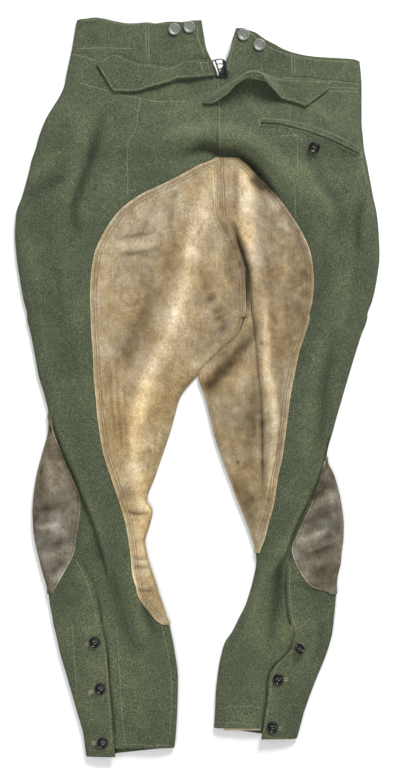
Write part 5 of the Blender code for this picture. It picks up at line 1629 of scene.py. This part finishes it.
class Sewing:
    """Collects raised stitches, then makes them one piece."""

    def __init__(self):
        self.points, self.faces, self.count = [], [], 0
        self.luck = np.random.default_rng(11)

    def add(self, starts, ends, out, width, rise):
        """One tapered stitch from each start to each end, on cloth that faces that way."""
        along = ends - starts
        across = np.cross(along, out)
        across /= np.maximum(np.linalg.norm(across, axis=1, keepdims=True), 1e-9)
        parts = [starts - END_SINK * out]
        for share in (0.24, 0.76):
            middle = starts + along * share
            parts += [middle + across * width / 2, middle + out * rise,
                      middle - across * width / 2, middle - out * BELLY_SINK]
        parts.append(ends - END_SINK * out)
        points = np.stack(parts, 1)
        round_it = [(k, (k + 1) % 4) for k in range(4)]
        cells = [(0, 1 + a, 1 + b) for a, b in round_it]
        cells += [(1 + a, 5 + a, 5 + b, 1 + b) for a, b in round_it]
        cells += [(9, 5 + b, 5 + a) for a, b in round_it]
        for base in range(self.count, self.count + len(points) * 10, 10):
            self.faces += [[base + i for i in cell] for cell in cells]
        self.points.append(points.reshape(-1, 3))
        self.count += len(points) * 10

    def row(self, ground, line, size=ON_WOOL):
        """A row of stitches along a line, each a little out of step."""
        at, out = seated(ground, smooth_line(line, 1.0))
        if len(at) < 3:
            return
        gone = run(at)
        starts = np.arange(0.2, gone[-1] - STITCH, STITCH + SPACE)
        starts = starts + self.luck.uniform(-0.15, 0.15, len(starts))
        ends = starts + STITCH * self.luck.uniform(0.9, 1.05, len(starts))

        def along(values, places):
            return np.stack([np.interp(places, gone, column) for column in values.T], 1)

        self.add(along(at, starts), along(at, ends), unit(along(out, (starts + ends) / 2)), *size)

    def hole(self, ground, x0, y0, x1, y1):
        """A buttonhole: close stitches across the two edges of a short slit."""
        start, end = np.array(laid((x0, y0))), np.array(laid((x1, y1)))
        length = np.linalg.norm(end - start)
        along = (end - start) / length
        across = np.array((-along[1], along[0]))
        for side in (-1, 1):
            steps = np.arange(0, length, HOLE_STEP)
            inner = start + along * steps[:, None] + across * side * HOLE_SLIT
            outer = inner + across * side * HOLE_REACH
            low, facing = seated(ground, inner)
            high, _ = seated(ground, outer)
            if len(low) == len(high):
                self.add(low, high, facing, *ON_HOLE)

    def piece(self, name, finish, slot):
        """All the stitches so far as one piece, which stands for no solid."""
        return own(finished(name, np.concatenate(self.points), self.faces, finish), slot)


def beside(line, offset):
    """A line's parallel, on the right of the picture for one drawn downwards."""
    line = smooth_line(line)
    along = unit(np.gradient(line, axis=0))
    moved = line + offset * np.stack((-along[:, 1], along[:, 0]), 1)
    gap = nearest(moved[:, 0], moved[:, 1], line)[0]
    return moved[gap > 0.97 * abs(offset)]


for half in (left, right):
    side, sign = half.side, half.sign
    green_sewing, brown_sewing = Sewing(), Sewing()
    for places in WOOL_ROWS[side]:
        green_sewing.row(cloth, [laid(place) for place in places])
    for hole in HOLES[side]:
        green_sewing.hole(cloth, *hole)
    green_sewing.piece("sewing_on_wool_" + side, cream_thread, "lining_cream")
    edges = [(free_edge(half, "leather", LEATHER_ROWS[side]), RIM_ROWS, -sign),
             (free_edge(half, "patch", PATCH_ROWS[side]), PATCH_RIM_ROWS, sign)]
    if side == "right":
        seam = np.stack((half.line["inner"], half.y), 1)
        edges.append((seam[(half.y < 318) & (half.y > SEAM_ROWS_END)], RIM_ROWS, 1))
    for edge, offsets, way in edges:
        for offset in offsets:
            brown_sewing.row(cloth, beside(edge[::4], way * offset), ON_LEATHER)
    brown_sewing.piece("sewing_on_leather_" + side, brown_thread, "leather_tan")

bars = Sewing()
for bar in button_bars:
    ends = np.array(bar)
    bars.add(ends[:-1], ends[1:], np.array([(0.1, 0.1, 1.0)]) + 0 * ends[1:], THREAD_WIDTH,
             THREAD_RISE)
bars.piece("button_threads", cream_thread, "lining_cream")

strap_sewing = Sewing()
for side, (obj, rows) in straps.items():
    on_strap = BVHTree.FromPolygons([vertex.co / MM for vertex in obj.data.vertices],
                                    [list(face.vertices) for face in obj.data.polygons])
    for row in rows:
        strap_sewing.row(on_strap, row, ON_STRAP)
    for places in STRAP_ROWS if side == "left" else ():
        strap_sewing.row(on_strap, [laid(place) for place in places])
strap_sewing.piece("sewing_on_straps", cream_thread, "lining_cream")

# ---------------------------------------------------------------- floor, light and camera
# A white table under soft daylight from the waist's side, a little from the right, with the
# camera straight above, as for a catalogue picture.
floor_mesh = bpy.data.meshes.new("floor")
floor_mesh.from_pydata([(-3, -3, 0), (3, -3, 0), (3, 3, 0), (-3, 3, 0)], [], [(0, 1, 2, 3)])
floor = placed("floor", floor_mesh)
floor.location.z = -0.0006
plain = bpy.data.materials.new("pale_floor")
plain.use_nodes = True
paint = plain.node_tree.nodes["Principled BSDF"].inputs
paint["Base Color"].default_value = (0.94, 0.94, 0.94, 1)
paint["Roughness"].default_value = 0.9
floor_mesh.materials.append(plain)


def softbox(name, place, aim, size, power):
    """A round soft light at a place, turned towards its aim."""
    light = bpy.data.lights.new(name, "AREA")
    light.shape, light.size, light.energy = "DISK", size, power
    obj = placed(name, light)
    obj.location = place
    obj.rotation_euler = (Vector(aim) - Vector(place)).to_track_quat("-Z", "Y").to_euler()


softbox("key_light", (0.75, 1.9, 1.55), (0, 0.0, 0), 0.9, 68)
softbox("fill_light", (-1.0, -1.2, 2.2), (0, -0.1, 0), 1.6, 26)
world = bpy.data.worlds.new("studio")
world.use_nodes = True
sky = world.node_tree.nodes["Background"].inputs
sky["Color"].default_value = (1, 1, 1, 1)
sky["Strength"].default_value = 0.45
bpy.context.scene.world = world
bpy.context.scene.view_settings.view_transform = "Standard"

LENS, SENSOR = 85.0, 36.0
VIEW_TALL = 768 * GRID * MM
camera_data = bpy.data.cameras.new("camera")
camera_data.lens, camera_data.sensor_width = LENS, SENSOR
camera = placed("camera", camera_data)
camera.location = (0.0060, 0.0046, VIEW_TALL * LENS / SENSOR + 0.012)
bpy.context.scene.camera = camera
